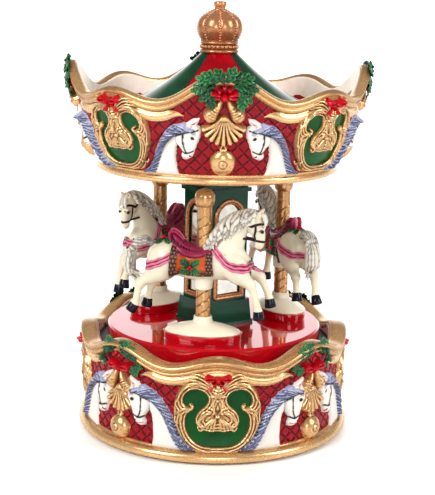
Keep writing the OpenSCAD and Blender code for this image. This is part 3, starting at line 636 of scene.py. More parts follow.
# White behind the object and a dimmer room in front of it, as in a small photo studio
world = bpy.data.worlds.new("studio")
world.use_nodes = True
sky = world.node_tree
direction = sky.nodes.new("ShaderNodeSeparateXYZ")
sky.links.new(sky.nodes.new("ShaderNodeTexCoord").outputs["Generated"], direction.inputs[0])
glow = sky.nodes.new("ShaderNodeMapRange")
glow.interpolation_type = "SMOOTHSTEP"
for socket, value in ((1, 0.2), (2, 0.8), (3, 0.30), (4, 1.6)):
    glow.inputs[socket].default_value = value
low_behind = sky.nodes.new("ShaderNodeMath")
low_behind.operation = "SUBTRACT"
sky.links.new(direction.outputs[1], low_behind.inputs[0])
sky.links.new(direction.outputs[2], low_behind.inputs[1])
sky.links.new(low_behind.outputs[0], glow.inputs[0])
sky.links.new(glow.outputs[0], sky.nodes["Background"].inputs[1])
sky.nodes["Background"].inputs[0].default_value = (1, 1, 1, 1)
bpy.context.scene.world = world
bpy.context.scene.view_settings.view_transform = "Standard"
bpy.context.scene.view_settings.look = "Medium High Contrast"

floor_look = Look("floor", Roughness=0.28, Specular_IOR_Level=0.35)
floor_look.link(floor_look.mix(floor_look.scaled(floor_look.noise(60, 2), 0.3, 0.7), (0.93, 0.93, 0.93, 1),
                               (0.91, 0.91, 0.91, 1)), "Base Color")
floor_mesh = bpy.data.meshes.new("floor")
floor_mesh.from_pydata([(-6, -6, 0), (6, -6, 0), (6, 6, 0), (-6, 6, 0)], [], [(0, 1, 2, 3)])
floor_mesh.materials.append(floor_look.mat)
floor = bpy.data.objects.new("floor", floor_mesh)
bpy.context.scene.collection.objects.link(floor)


# ---------------------------------------------------------------- quilted walls

DIAMONDS = 64
DIAMOND_HEIGHT = 5.9
QUILT_COLUMNS = DIAMONDS * 17


def quilt(az, z):
    """Height of the quilting over the wall: pillowed diamonds between pressed-in seams."""
    across, up = az / 360 * DIAMONDS, z / DIAMOND_HEIGHT
    gaps = []
    for lean in (1, -1):
        t = across + lean * up
        gaps.append(np.abs(t - np.round(t)) * 4.2)
    near = np.minimum(*gaps)
    seam = -0.40 * np.exp(-(near / 0.34) ** 2)
    lip = 0.10 * np.exp(-((near - 0.75) / 0.28) ** 2)
    return 0.26 + seam + lip + 0.17 * np.clip(near / 2.1, 0, 1)


def ring_solid(outer, inner):
    """A closed ring from an outer and an inner grid of points, both [azimuth, up]."""
    section = np.concatenate([outer, inner[:, ::-1]], 1)
    rows, cols = section.shape[:2]
    return section.reshape(-1, 3), [grid_faces(rows, cols, True, True)]


def wall_ring(r_at, z_low, z_high, rows, thick):
    """A quilted wall from the height z_low up to z_high(azimuth), with a plain inner face."""
    az = np.arange(QUILT_COLUMNS) * 360 / QUILT_COLUMNS
    z = z_low + (z_high(az) - z_low)[:, None] * np.linspace(0, 1, rows)[None, :]
    a = np.broadcast_to(az[:, None], z.shape)
    outer = on_wall(a, r_at(z) + quilt(a, z), z)
    inner = on_wall(a, r_at(z) - thick, z)[:, ::rows - 1]
    return ring_solid(outer, inner)


def canopy_wall_r(z):
    z = np.asarray(z, float)
    return frieze_r(np.minimum(z, FRIEZE_TOP)) + GALLERY_FLARE * np.maximum(z - FRIEZE_TOP, 0)


piece("base_quilted_wall", *wall_ring(lambda z: DRUM_R + 0 * z, 5.6, lambda az: base_top(az) - 2.4, 116, 4.4),
      crimson, "base", "crimson_paint", ["base_drum"], rounds=5)
piece("canopy_quilted_wall", *wall_ring(canopy_wall_r, FRIEZE_Z - 0.6, lambda az: canopy_top(az) - 2.6, 122, 2.6),
      crimson, "carousel", "crimson_paint", ["canopy_drum"], rounds=5)

# ---------------------------------------------------------------- wavy galleries and mouldings


def rounded(points):
    """A closed outline with its corners eased by two rounds of corner cutting."""
    p = np.asarray(points, float)
    for _ in range(2):
        q = np.roll(p, -1, 0)
        p = np.stack([0.75 * p + 0.25 * q, 0.25 * p + 0.75 * q], 1).reshape(-1, 2)
    return p


def gallery(top, section, steps=360):
    """A ring swept round the axis whose outline, as [outward, below the edge], rides on a wavy edge."""
    az = np.arange(steps) * 360 / steps
    v = []
    for a in az:
        p = rounded(section(float(top(a))))
        v.append(on_wall(np.full(len(p), a), p[:, 0], p[:, 1]))
    v = np.array(v)
    return v.reshape(-1, 3), [grid_faces(steps, v.shape[1], True, True)]


def base_rim(t):
    return [(55.6, t - 5.4), (55.5, t - 1.7), (56.6, t - 0.25), (58.6, t), (61.2, t - 0.1),
            (DRUM_R + 2.9, t - 0.75), (DRUM_R + 3.5, t - 1.7), (DRUM_R + 3.3, t - 2.7), (DRUM_R + 2.1, t - 3.15),
            (DRUM_R + 2.0, t - 3.45), (DRUM_R + 2.9, t - 3.9), (DRUM_R + 2.8, t - 4.8), (DRUM_R + 1.9, t - 5.4),
            (DRUM_R + 0.2, t - 5.7), (DRUM_R - 1.6, t - 5.6)]


def canopy_rim(t):
    r = float(canopy_wall_r(t))
    return [(r - 3.2, t - 5.6), (r - 2.9, t - 1.6), (r - 2.2, t - 0.3), (r - 0.4, t), (r + 1.0, t - 0.5),
            (r + 1.9, t - 1.6), (r + 1.5, t - 2.7), (r + 0.7, t - 3.1), (r + 0.6, t - 3.4),
            (r + 1.2, t - 3.9), (r + 0.9, t - 4.8), (r + 0.1, t - 5.4), (r - 1.8, t - 5.8)]


piece("base_gallery_rim", *gallery(base_top, base_rim),
      rim_gold, "base", "antique_gold", ["base_gallery"], rounds=6)
piece("canopy_gallery_rim", *gallery(canopy_top, canopy_rim),
      rim_gold, "carousel", "antique_gold", ["canopy_gallery"], rounds=6)


def lining(top, r_at, z_low, down, thick=0.9, steps=180, rows=14):
    """The plain painted inner face of a gallery."""
    az = np.arange(steps) * 360 / steps
    high = top(az) - down
    z = z_low + (high - z_low)[:, None] * np.linspace(0, 1, rows)[None, :]
    a = np.broadcast_to(az[:, None], z.shape)
    r = r_at(z)
    return ring_solid(on_wall(a, r + thick, z), on_wall(a, r + 0.06 * np.sin(a * 0.7) * np.cos(z * 0.9), z))


piece("base_gallery_lining", *lining(base_top, lambda z: 55.55 + 0 * z, 41.0, 1.6),
      inner_cream, "base", "ceiling_cream")
piece("canopy_gallery_lining", *lining(canopy_top, lambda z: canopy_wall_r(z) - 3.35, 150.2, 1.5),
      inner_cream, "carousel", "ceiling_cream")


def moulding(profile, steps=240):
    """A plain ring moulding from a closed [radius, height] outline."""
    p = rounded(profile)
    az = np.arange(steps) * 360 / steps
    v = on_wall(az[:, None], p[None, :, 0], p[None, :, 1])
    return v.reshape(-1, 3), [grid_faces(steps, len(p), True, True)]


v, f = moulding([(53, 0.8), (63.4, 0.8), (64.6, 1.5), (65, 2.8), (64.7, 4.2), (63.6, 5.2), (61.8, 5.5), (61.3, 6.3),
                 (60, 6.4), (56, 6.2), (56, 12.5), (54.5, 15), (51, 15), (51, 12.5), (53, 12.4)])
piece("base_foot_ring", v, f, rim_gold, "base", "antique_gold", ["foot_ring"])
v, f = moulding([(51, 123.5), (54.6, 123.5), (56.0, 124.1), (56.7, 125.3), (56.4, 126.6), (55.7, 127.2),
                 (56.2, 127.9), (55.8, 128.6), (54, 128.6), (53.9, 124.6), (51, 124.5)])
piece("canopy_lower_ring", v, f, rim_gold, "carousel", "antique_gold", ["canopy_drum"])


def scroll_band(bands, top, r_at, below, half_deg, centre_deg, height=1.75, proud=1.35, n=90):
    """The second moulding under a gallery: it follows the wave and its ends taper and curl down."""
    s = np.linspace(-1, 1, n)
    az = centre_deg + half_deg * s
    end = np.clip((np.abs(s) - 0.80) / 0.20, 0, 1)
    z = top(az) - below - 0.5 * end - 3.1 * end ** 2.2
    r = r_at(z) + 0.35 * (1 - end)
    for dz, dr, size in ((0.0, 0.0, 1.0), (1.25, 0.22, 0.52), (-1.3, 0.12, 0.42)):
        fade = np.clip(1 - end, 0.10, 1) ** 0.8
        bands.add(*tube(on_wall(az, r + dr * fade, z + dz * fade), height * size * fade, 12,
                        up=on_wall(az, 1.0, 0.0), flat=proud / height))


for name, rider, top, r_at, below, half_deg, first in (
        ("base_scroll_bands", "base", base_top, lambda z: DRUM_R + 0.4 + 0 * z, 7.5, 34, 0),
        ("canopy_scroll_bands", "carousel", canopy_top, lambda z: canopy_wall_r(z) + 0.3, 7.6, 30, 45)):
    bands = Parts()
    for q in QUARTERS:
        scroll_band(bands, top, r_at, below, half_deg, q + first)
    bands.make(name, rim_gold, rider, "antique_gold")

# ---------------------------------------------------------------- roof and crown


def roof_z(r):
    seat = ROOF_SEAT + 2.8
    return seat + (CROWN_Z - seat) * (np.clip(ROOF_R - np.asarray(r, float), 0, None) / (ROOF_R - 8)) ** 1.9


def roof_sector(centre_deg, half_deg, steps=60, rows=44):
    az = centre_deg + np.linspace(-half_deg, half_deg, steps)
    r = ROOF_INNER_R + (ROOF_R - ROOF_INNER_R) * np.linspace(0, 1, rows)
    sag = 0.35 * np.cos(np.radians((az - centre_deg) / half_deg * 90))[:, None] * np.sin(
        np.pi * np.linspace(0, 1, rows))[None, :]
    top = on_wall(az[:, None], r[None, :], roof_z(r)[None, :] + sag)
    under = on_wall(az[:, None], r[None, :], roof_z(r)[None, :] - 1.6)
    return np.concatenate([top.reshape(-1, 3), under.reshape(-1, 3)]), slab_faces(steps, rows, True)


SEAM = 38
for colour, material, turns, half in (("red", roof_red, (0, 180), SEAM - 0.4),
                                      ("green", roof_green, (90, 270), 89.6 - SEAM)):
    panels = Parts()
    for a in turns:
        panels.add(*roof_sector(a, half))
    panels.make(f"roof_panels_{colour}", material, "carousel", "roof_paint", stands_for=["canopy_roof"])
seams = Parts()
for az in (SEAM, 180 - SEAM, 180 + SEAM, -SEAM):
    r = np.linspace(8, ROOF_R - 0.4, 60)
    seams.add(*tube(on_wall(az, r, roof_z(r) + 0.1), 0.42, 8))
seam_look = enamel("seam_black", (0.012, 0.012, 0.012), (0.03, 0.02, 0.018), 0.2)
seams.make("roof_seams", seam_look, "carousel", "plate_black")
v, f = moulding([(ROOF_R - 1.8, ROOF_SEAT), (ROOF_R, ROOF_SEAT), (ROOF_R + 1.6, ROOF_SEAT + 3.0),
                 (ROOF_R, ROOF_SEAT + 3.2), (ROOF_R - 2, ROOF_SEAT + 2.2)])
piece("roof_seat_ring", v, f, inner_cream, "carousel", "ceiling_cream", ["canopy_roof"])

crown = Parts()
LOBES = 8
body = spline([(8.1, 182.3), (9.6, 184.6), (10.7, 187.4), (10.75, 190), (9.6, 192.6), (7.2, 194.5), (4.4, 195.7),
               (2.6, 196.3)], 40)
depth = np.interp(body[:, 1], [182, 184.5, 190, 194.5, 196.3], [0.02, 0.07, 0.10, 0.09, 0.02])
crown.add(*lathe(body, 160, lambda a, k: 1 - depth[k] * (1 - np.abs(np.sin(a * LOBES / 2)) ** 0.55)))
for a in np.arange(LOBES) * 2 * np.pi / LOBES:
    for (r, z), d in zip(spline(body[2:-3:2], 15),
                         np.interp(np.linspace(0, 1, 15), [0, 0.5, 1], [0.05, 0.09, 0.08])):
        crown.add_ball(0.66, [r * (1 - d) * math.cos(a), r * (1 - d) * math.sin(a), z])
for profile in ([(6, 177.0), (8.6, 177.0), (9.2, 177.6), (9.1, 178.4), (8.2, 178.8), (6, 178.8)],
                [(6, 178.5), (8.0, 178.5), (8.0, 181.2), (6, 181.2)],
                [(6, 181.0), (8.3, 181.0), (9.0, 181.5), (8.8, 182.2), (7.9, 182.6), (6, 182.6)],
                [(1, 195.6), (3.0, 195.8), (3.5, 196.3), (3.2, 196.9), (2.3, 197.1), (1, 197.1)]):
    crown.add(*moulding(profile, 96))
for a in np.arange(26) * 2 * np.pi / 26:
    crown.add_ball(0.98, [8.2 * math.cos(a), 8.2 * math.sin(a), 179.9])
knob = spline([(0.02, 196.2), (2.1, 196.4), (2.5, 197.6), (2.95, 199.0), (2.75, 200.0), (1.9, 200.45),
               (0.02, 200.5)], 30)
crown.add(*lathe(knob, 48))
crown.make("crown", copper, "carousel", "crown_copper", stands_for=["crown_finial"], rounds=6)

# ---------------------------------------------------------------- platform, column, mounds and poles

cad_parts["platform"].material_slots[0].material = scarlet
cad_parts["column"].material_slots[0].material = column_paint


def at_horse(i):
    return turn(FIRST_HORSE - 90 + 120 * i) @ shift(HORSE_RING, 0, 0) @ turn(90)


HORSE_PLACES = [at_horse(i) for i in range(3)]


def oval(profile, steps=96):
    """A solid with an egg-shaped plan: the profile is [half length, half width, height], upwards."""
    p = np.asarray(profile, float)
    a = np.linspace(0, 2 * np.pi, steps, endpoint=False)[:, None]
    bulge = 1 - 0.05 * np.cos(a) * np.sin(a) ** 2
    v = np.stack([p[None, :, 0] * np.cos(a) * bulge, p[None, :, 1] * np.sin(a) * (1 + 0.04 * np.cos(a)),
                  np.broadcast_to(p[None, :, 2], (steps, len(p)))], -1)
    return v.reshape(-1, 3), [grid_faces(steps, len(p), True, False)]


side = Parts()
side.add(*oval(spline([(3.6, 3.6, 49.45), (16.6, 10.2, 49.45), (17.4, 10.7, 49.7), (17.6, 10.9, 51.0),
                       (17.7, 11.0, 52.8), (17.5, 10.9, 53.4), (16.9, 10.4, 53.7), (3.6, 3.6, 53.7)], 44)))
mounds = Parts()
mounds.add(*oval(spline([(3.5, 3.5, 53.2), (17.0, 10.4, 53.4), (17.35, 10.75, 53.75), (16.7, 10.2, 54.4),
                         (14.2, 8.7, 55.5), (10.8, 6.9, 56.5), (7.2, 5.2, 57.3), (5.0, 4.4, 57.9),
                         (4.35, 4.2, 59.0), (4.1, 4.05, 60.6), (3.45, 3.45, 60.8)], 60)))
side.copies(HORSE_PLACES).make("mound_sides", scarlet, "carousel", "platform_red",
                               stands_for=["pedestal_1", "pedestal_2", "pedestal_3"])
mounds.copies(HORSE_PLACES).make("mounds", mound, "carousel", "pedestal_paint",
                                 stands_for=["pedestal_1", "pedestal_2", "pedestal_3"])


def pole(rows=420, steps=96):
    z = np.linspace(POLE_LOW, POLE_HIGH, rows)
    a = np.linspace(0, 2 * np.pi, steps, endpoint=False)
    turnings = a[:, None] / (2 * np.pi) * 3 - z[None, :] / TWIST_LEAD * 3
    near = np.abs(turnings - np.round(turnings)) * 2 * np.pi * POLE_R / 3
    shown = np.clip((z - 60) / 3, 0, 1) * np.clip((107.5 - z) / 3, 0, 1)
    cut = (0.42 * np.exp(-((near - 0.36) / 0.17) ** 2) - 0.10 * np.exp(-(near / 0.2) ** 2)) * shown[None, :]
    r = POLE_R - cut
    v = np.stack([r * np.cos(a)[:, None], r * np.sin(a)[:, None], np.broadcast_to(z, r.shape)], -1)
    n = steps * rows
    v = np.concatenate([v.reshape(-1, 3), [[0, 0, z[0]], [0, 0, z[-1]]]])
    first, last = np.arange(0, n, rows), np.arange(rows - 1, n, rows)
    return v, [grid_faces(steps, rows, True, False), fan(first, n, True), fan(last, n + 1)]


poles = Parts()
poles.add(*pole())
poles.add(*lathe(spline([(0.02, 109.6), (2.9, 110.6), (4.3, 112.4), (4.6, 114.6), (4.25, 116.8), (2.8, 118.6),
                         (0.02, 119.3)], 40), 56))
poles.copies(HORSE_PLACES).make("poles", twist_gold, "carousel", "pole_gold",
                                stands_for=["pole_1", "pole_2", "pole_3"], rounds=4)
collars = Parts()
collars.add(*lathe(spline([(3.3, 73.4), (4.0, 73.6), (4.15, 75), (4.3, 78), (3.3, 79)], 20), 40))
collars.copies(HORSE_PLACES).make("pole_collars", mound, "carousel", "horse_white")

WINDOW_HALF, WINDOW_LOW, WINDOW_ARCH = 7.0, 64.0, 101.0
COLUMN_TURNS = [turn(FIRST_HORSE + 45 + q) for q in QUARTERS]


def window_path(grow, n=120):
    """Round a window: up one side, over the arch and down, then along the sill."""
    w = WINDOW_HALF + grow
    arch = np.linspace(0, np.pi, 40)
    x = np.concatenate([[w, w], w * np.cos(arch), [-w, -w]])
    z = np.concatenate([[WINDOW_LOW - grow, 82], WINDOW_ARCH + w * np.sin(arch), [82, WINDOW_LOW - grow]])
    pts = np.stack([x, np.full_like(x, -COLUMN_SIDE / 2), z], 1)
    pts = np.concatenate([pts, [[-w * 0.3, -COLUMN_SIDE / 2, WINDOW_LOW - grow],
                                [w * 0.3, -COLUMN_SIDE / 2, WINDOW_LOW - grow]]])
    closed = np.concatenate([pts, pts[:1]])
    lengths = np.concatenate([[0], np.cumsum(np.linalg.norm(np.diff(closed, axis=0), axis=1))])
    s = np.linspace(0, lengths[-1], n, endpoint=False)
    return np.stack([np.interp(s, lengths, closed[:, k]) for k in range(3)], 1)


frames = Parts()
frames.add(*tube(window_path(1.15) + [0, -0.25, 0], 0.85, 10, True, up=(0, -1, 0)))
for p in window_path(-0.05, 110):
    frames.add_ball(0.52, p + [0, -0.35, 0], 6, 8)
frames.copies(COLUMN_TURNS).make("window_frames", copper, "carousel", "antique_gold",
                                 stands_for=["column_window_frames"], rounds=4)


# ---------------------------------------------------------------- relief on the walls

GROUND = 0.55      # how far the quilting stands off the wall; relief starts above it
LAVENDER, SHADOW_BLUE = (0.34, 0.37, 0.52), (0.045, 0.05, 0.12)
CREAM_WHITE, PINKISH, NEAR_BLACK = (0.74, 0.70, 0.64), (0.80, 0.52, 0.50), (0.012, 0.008, 0.008)


class Relief:
    """Low relief drawn over a wall: a height for each point of a grid of (sideways, up), in mm."""

    def __init__(self, u, z, step=0.3):
        self.u, self.z = np.arange(*u, step), np.arange(*z, step)
        self.U, self.Z = np.meshgrid(self.u, self.z, indexing="ij")
        self.h = np.full(self.U.shape, -1.5)
        self.paint = np.zeros(self.U.shape + (3,))

    def to_line(self, points, closed=False):
        """Distance to a line of points, how far along it the nearest spot is, and the side."""
        p = np.asarray(points, float)
        q = np.roll(p, -1, 0) if closed else p[1:]
        p = p if closed else p[:-1]
        best = np.full(self.U.shape, 1e9)
        along = np.zeros(self.U.shape)
        side = np.zeros(self.U.shape)
        inside = np.zeros(self.U.shape, bool)
        for k, (a, b) in enumerate(zip(p, q)):
            d = b - a
            t = np.clip(((self.U - a[0]) * d[0] + (self.Z - a[1]) * d[1]) / max(d @ d, 1e-9), 0, 1)
            du, dz = self.U - a[0] - t * d[0], self.Z - a[1] - t * d[1]
            gap = du * du + dz * dz
            near = gap < best
            best = np.where(near, gap, best)
            along = np.where(near, k + t, along)
            side = np.where(near, d[0] * dz - d[1] * du, side)
            if closed:
                crossing = (a[1] > self.Z) != (b[1] > self.Z)
                with np.errstate(divide="ignore", invalid="ignore"):
                    at = a[0] + (self.Z - a[1]) / (b[1] - a[1]) * (b[0] - a[0])
                inside ^= crossing & (self.U < at)
        return np.sqrt(best), along / len(p), inside if closed else np.sign(side)

    def depth_in(self, outline):
        d, _, inside = self.to_line(outline, True)
        return np.where(inside, d, -d)

    def raise_to(self, h, where, colour=None):
        taller = where & (h > self.h)
        self.h = np.where(taller, h, self.h)
        if colour is not None:
            self.paint[taller] = colour

    def pad(self, outline, height, edge=1.2, colour=None, n=0):
        """A pillow with this outline."""
        outline = spline(outline, n, True) if n else outline
        d = self.depth_in(outline)
        t = np.clip(d / edge, 0, 1)
        h = np.where(d > 0, GROUND + (height - GROUND) * np.sqrt(1 - (1 - t) ** 2), GROUND + 1.6 * d)
        self.raise_to(h, d > -1.3, colour)
        return d

    def stroke(self, points, width, height, colour=None, n=24, over=True, sharp=0.5):
        """A raised line, laid over what is there or standing on the wall; width and height may taper."""
        p = spline(points, n) if n and len(points) > 2 else np.asarray(points, float)
        d, t, _ = self.to_line(p)
        w = np.interp(t, np.linspace(0, 1, np.size(width)), np.atleast_1d(width))
        rise = np.interp(t, np.linspace(0, 1, np.size(height)), np.atleast_1d(height))
        near = d < w
        bulge = rise * (1 - np.clip(d / w, 0, 1) ** 2) ** sharp
        if over:
            self.h = np.where(near, np.maximum(self.h, -0.2) + bulge, self.h)
            if colour is not None:
                self.paint[near & (d < 0.92 * w)] = colour
        else:
            h = np.where(near, GROUND + bulge, GROUND - 1.6 * (d - w))
            self.raise_to(h, d < w + 1.0, colour)

    def dome(self, at, size, height, colour=None, power=0.5, over=False):
        d = np.sqrt(((self.U - at[0]) / size[0]) ** 2 + ((self.Z - at[1]) / size[1]) ** 2)
        bulge = height * np.clip(1 - d ** 2, 0, None) ** power
        if over:
            self.h = self.h + np.where(d < 1, bulge, 0)
            if colour is not None:
                self.paint[d < 0.95] = colour
        else:
            self.raise_to(np.where(d < 1, GROUND + bulge, GROUND - 1.6 * (d - 1) * min(size)), d < 1.6, colour)

    def cut(self, points, width, depth, colour=None, n=16):
        p = spline(points, n) if len(points) > 2 else np.asarray(points, float)
        d, _, _ = self.to_line(p)
        self.h = self.h - depth * np.exp(-(d / width) ** 2)
        if colour is not None:
            self.paint[d < width] = colour

    def solid(self, place, flip=False):
        """A closed shell: the relief's face where it stands above the wall, closed behind by a fan."""
        keep = self.h > -0.25
        rows, cols = keep.shape
        f = grid_faces(rows, cols)
        f = f[keep.ravel()[f].any(1)]
        used, f = np.unique(f, return_inverse=True)
        f = f.reshape(-1, 4)
        u, z = self.U.ravel()[used], self.Z.ravel()[used]
        h = np.maximum(self.h.ravel()[used], -0.5)
        v = place(u, z, h)
        centre = place(np.array([u.mean()]), np.array([z.mean()]), np.array([-1.5]))
        pairs = np.concatenate([np.stack([f[:, k], f[:, (k + 1) % 4]], 1) for k in range(4)])
        key = pairs[:, 0].astype(np.int64) * len(v) + pairs[:, 1]
        back = pairs[:, 1].astype(np.int64) * len(v) + pairs[:, 0]
        open_edges = pairs[~np.isin(key, back)]
        tri = np.stack([open_edges[:, 1], open_edges[:, 0], np.full(len(open_edges), len(v))], 1)
        v = np.concatenate([v, centre])
        paint = np.concatenate([self.paint.reshape(-1, 3)[used], [[0.5, 0.5, 0.5]]])
        return v, [g[:, ::-1] if flip else g for g in (f, tri)], paint


def on_base(turn_deg, side=1, z_shift=0.0):
    """Puts a relief's (sideways, up, height) on the drum, mirrored when side is -1."""
    def place(u, z, h):
        return on_wall(turn_deg + side * np.degrees(u / DRUM_R), DRUM_R + h, z + z_shift)
    return place


def on_canopy(turn_deg, side=1, z_at=lambda z: z, az_at=lambda u: np.degrees(u / FRIEZE_MIDDLE_R)):
    def place(u, z, h):
        zz = z_at(z)
        return on_wall(turn_deg + side * az_at(u), canopy_wall_r(zz) + h, zz - 0.25 * h)
    return place


def relief_piece(name, body, material, slot, stands_for, *drawings, sides=(1,), painted_on=False):
    """One piece from drawings, each with a function that gives its place for a quarter and a side."""
    out = Parts()
    for drawing, place_at in drawings:
        for q in QUARTERS:
            for s in sides:
                v, f, c = drawing.solid(place_at(q, s), s < 0)
                out.add(v, f, c if painted_on else None)
    out.make(name, material, body, slot, stands_for=[stands_for], rounds=4)


# Horse's head: the mane lies towards the cartouche and the face looks down, away from it
OUTER = [(8.2, 5.6), (13.6, 8.6), (17.2, 13.4), (19.0, 18.4), (21.6, 23.4), (25.2, 28.4), (29.6, 31.9),
         (34.4, 33.3)]
INNER = [(16.4, 5.6), (19.6, 10.6), (22.4, 17.0), (25.4, 22.8), (29.2, 26.4), (33.4, 28.4), (36.6, 29.6)]


def head_relief():
    r = Relief((5, 46), (3.4, 37.6), 0.29)
    neck = [(15.5, 5.4), (18.6, 10.6), (21.6, 17.4), (25, 23.6), (29.4, 27.4), (34, 29), (35.5, 25), (31.6, 23.4),
            (29.9, 20.6), (29.2, 16), (29.0, 10), (29.6, 5.4)]
    r.pad(neck, 1.9, 3.2, CREAM_WHITE)
    head = [(33.4, 30.6), (36.4, 33.0), (39.6, 33.2), (41.4, 31.8), (42.5, 29.6), (42.1, 27.0), (41.2, 24.4),
            (40.2, 21.8), (39.3, 19.4), (38.7, 17.4), (37.2, 15.4), (35.0, 14.4), (33.2, 15.0), (32.6, 16.8),
            (33.2, 18.6), (32.4, 20.4), (31.0, 22.4), (30.2, 25.0), (31.2, 28.2)]
    r.pad(head, 2.7, 1.9, CREAM_WHITE, 90)
    r.dome((32.8, 24.6), (2.7, 3.0), 0.45, CREAM_WHITE, 1.0, True)
    r.dome((40.3, 27.6), (1.5, 2.6), 0.35, None, 1.0, True)
    r.dome((36.0, 16.6), (2.6, 2.0), 0.40, (0.84, 0.68, 0.64), 1.0, True)
    r.stroke([(37.2, 32.0), (39.6, 33.8), (41.6, 35.6)], [1.9, 1.5, 0.35], [1.1, 1.2, 0.5], CREAM_WHITE, over=False)
    r.stroke([(38.4, 32.4), (40.0, 33.6), (41.0, 34.7)], [0.7, 0.5, 0.15], [-0.5, -0.4, 0], PINKISH)
    mane = OUTER + [(37.4, 32.4), (37.2, 30.4)] + INNER[::-1]
    r.pad(mane, 2.15, 2.6, LAVENDER)
    inner_at, outer_at = spline(INNER, 42), spline(OUTER, 44)
    tints = (LAVENDER, (0.62, 0.65, 0.74), (0.15, 0.17, 0.28), (0.46, 0.49, 0.62))
    for k in range(41):
        a, b = inner_at[min(k + 2, 41)], outer_at[max(k - 2, 0)]
        along = inner_at[min(k + 1, 41)] - inner_at[max(k - 1, 0)]
        bow = 0.9 * along / max(np.linalg.norm(along), 1e-6) * (1 if k % 2 else -0.4)
        r.stroke([a, (a + b) / 2 + bow, b + (b - a) * 0.05], [0.3, 0.56, 0.3],
                 [0.3, 0.5 + 0.45 * ((k * 3) % 4) / 3, 0.25], tints[(k * 7) % 4], 14)
    for k in range(0, 41, 2):
        a, b = inner_at[k], outer_at[max(k - 3, 0)]
        r.cut([a, (a + b) / 2 + 0.5, b], 0.17, 0.5, SHADOW_BLUE)
    for k in range(4):
        r.stroke([(35.2 + k * 0.9, 31.4 - k * 0.1), (37.2 + k * 0.8, 30.8 - k * 0.5),
                  (39.0 + k * 0.55, 29.2 - k * 0.35)],
                 [0.7, 0.6, 0.2], [0.5, 0.6, 0.1], LAVENDER, 12)
    strap = dict(height=[0.28, 0.28], colour=NEAR_BLACK, n=16)
    r.stroke([(31.0, 27.4), (34.0, 28.6), (37.6, 29.6), (41.4, 30.4)], [0.42, 0.42], **strap)
    r.stroke([(34.4, 28.6), (34.2, 25.0), (34.6, 21.4), (35.4, 19.0)], [0.38, 0.38], **strap)
    r.stroke([(33.2, 19.2), (35.6, 18.4), (38.8, 19.4)], [0.42, 0.42], **strap)
    r.dome((38.9, 26.3), (1.0, 0.8), 0.35, NEAR_BLACK, 0.6, True)
    r.stroke([(37.7, 27.2), (38.9, 27.7), (40.0, 26.9)], [0.3, 0.35, 0.2], [0.25, 0.3, 0.2], (0.75, 0.62, 0.56), 10)
    r.cut([(37.6, 16.3), (37.0, 17.1)], 0.3, 0.4, NEAR_BLACK)
    r.cut([(33.4, 16.3), (35.0, 15.9), (36.2, 16.0)], 0.2, 0.3, (0.25, 0.10, 0.09), 8)
    return r


heads = head_relief()
relief_piece("base_relief_horses", "base", white, "relief_white", "base_horse_heads",
             (heads, on_base), sides=(1, -1), painted_on=True)


def canopy_head_z(z):
    return 128.3 + (z - 5.5) * 0.83


def canopy_head_az(u):
    return 9.6 + 0.8 * (u - 9)


relief_piece("canopy_relief_horses", "carousel", white, "relief_white", "canopy_horse_heads",
             (heads, lambda q, s: on_canopy(q + 45, s, canopy_head_z, canopy_head_az)), sides=(1, -1),
             painted_on=True)

# Cartouche: half outlines of the sunk field and of the frame, the other half is their mirror image
FIELD = [(0, 7.6), (6, 8.0), (10.4, 10.2), (13.2, 14.2), (14.3, 18.6), (13.6, 22.6), (11.6, 25.0), (13.4, 25.8),
         (15.0, 27.4), (15.2, 30.2), (13.6, 33.0), (10.6, 34.6), (7.0, 34.3), (4.4, 32.2), (3.8, 29.2), (5.4, 26.4),
         (8.0, 24.0), (9.2, 21.2), (8.8, 18.4), (6.6, 16.4), (3.2, 15.4), (0, 15.6)]
RIM = [(0, 4.9), (6, 5.0), (10.6, 6.6), (14.6, 10.4), (17.4, 15.6), (18.7, 21.6), (18.8, 28.0), (17.0, 33.6),
       (13.4, 37.2), (8.6, 38.6), (4.6, 37.8), (2.6, 36.4), (0, 37.2)]


def both_sides(half):
    return list(half) + [(-u, z) for u, z in half[::-1] if u > 0]


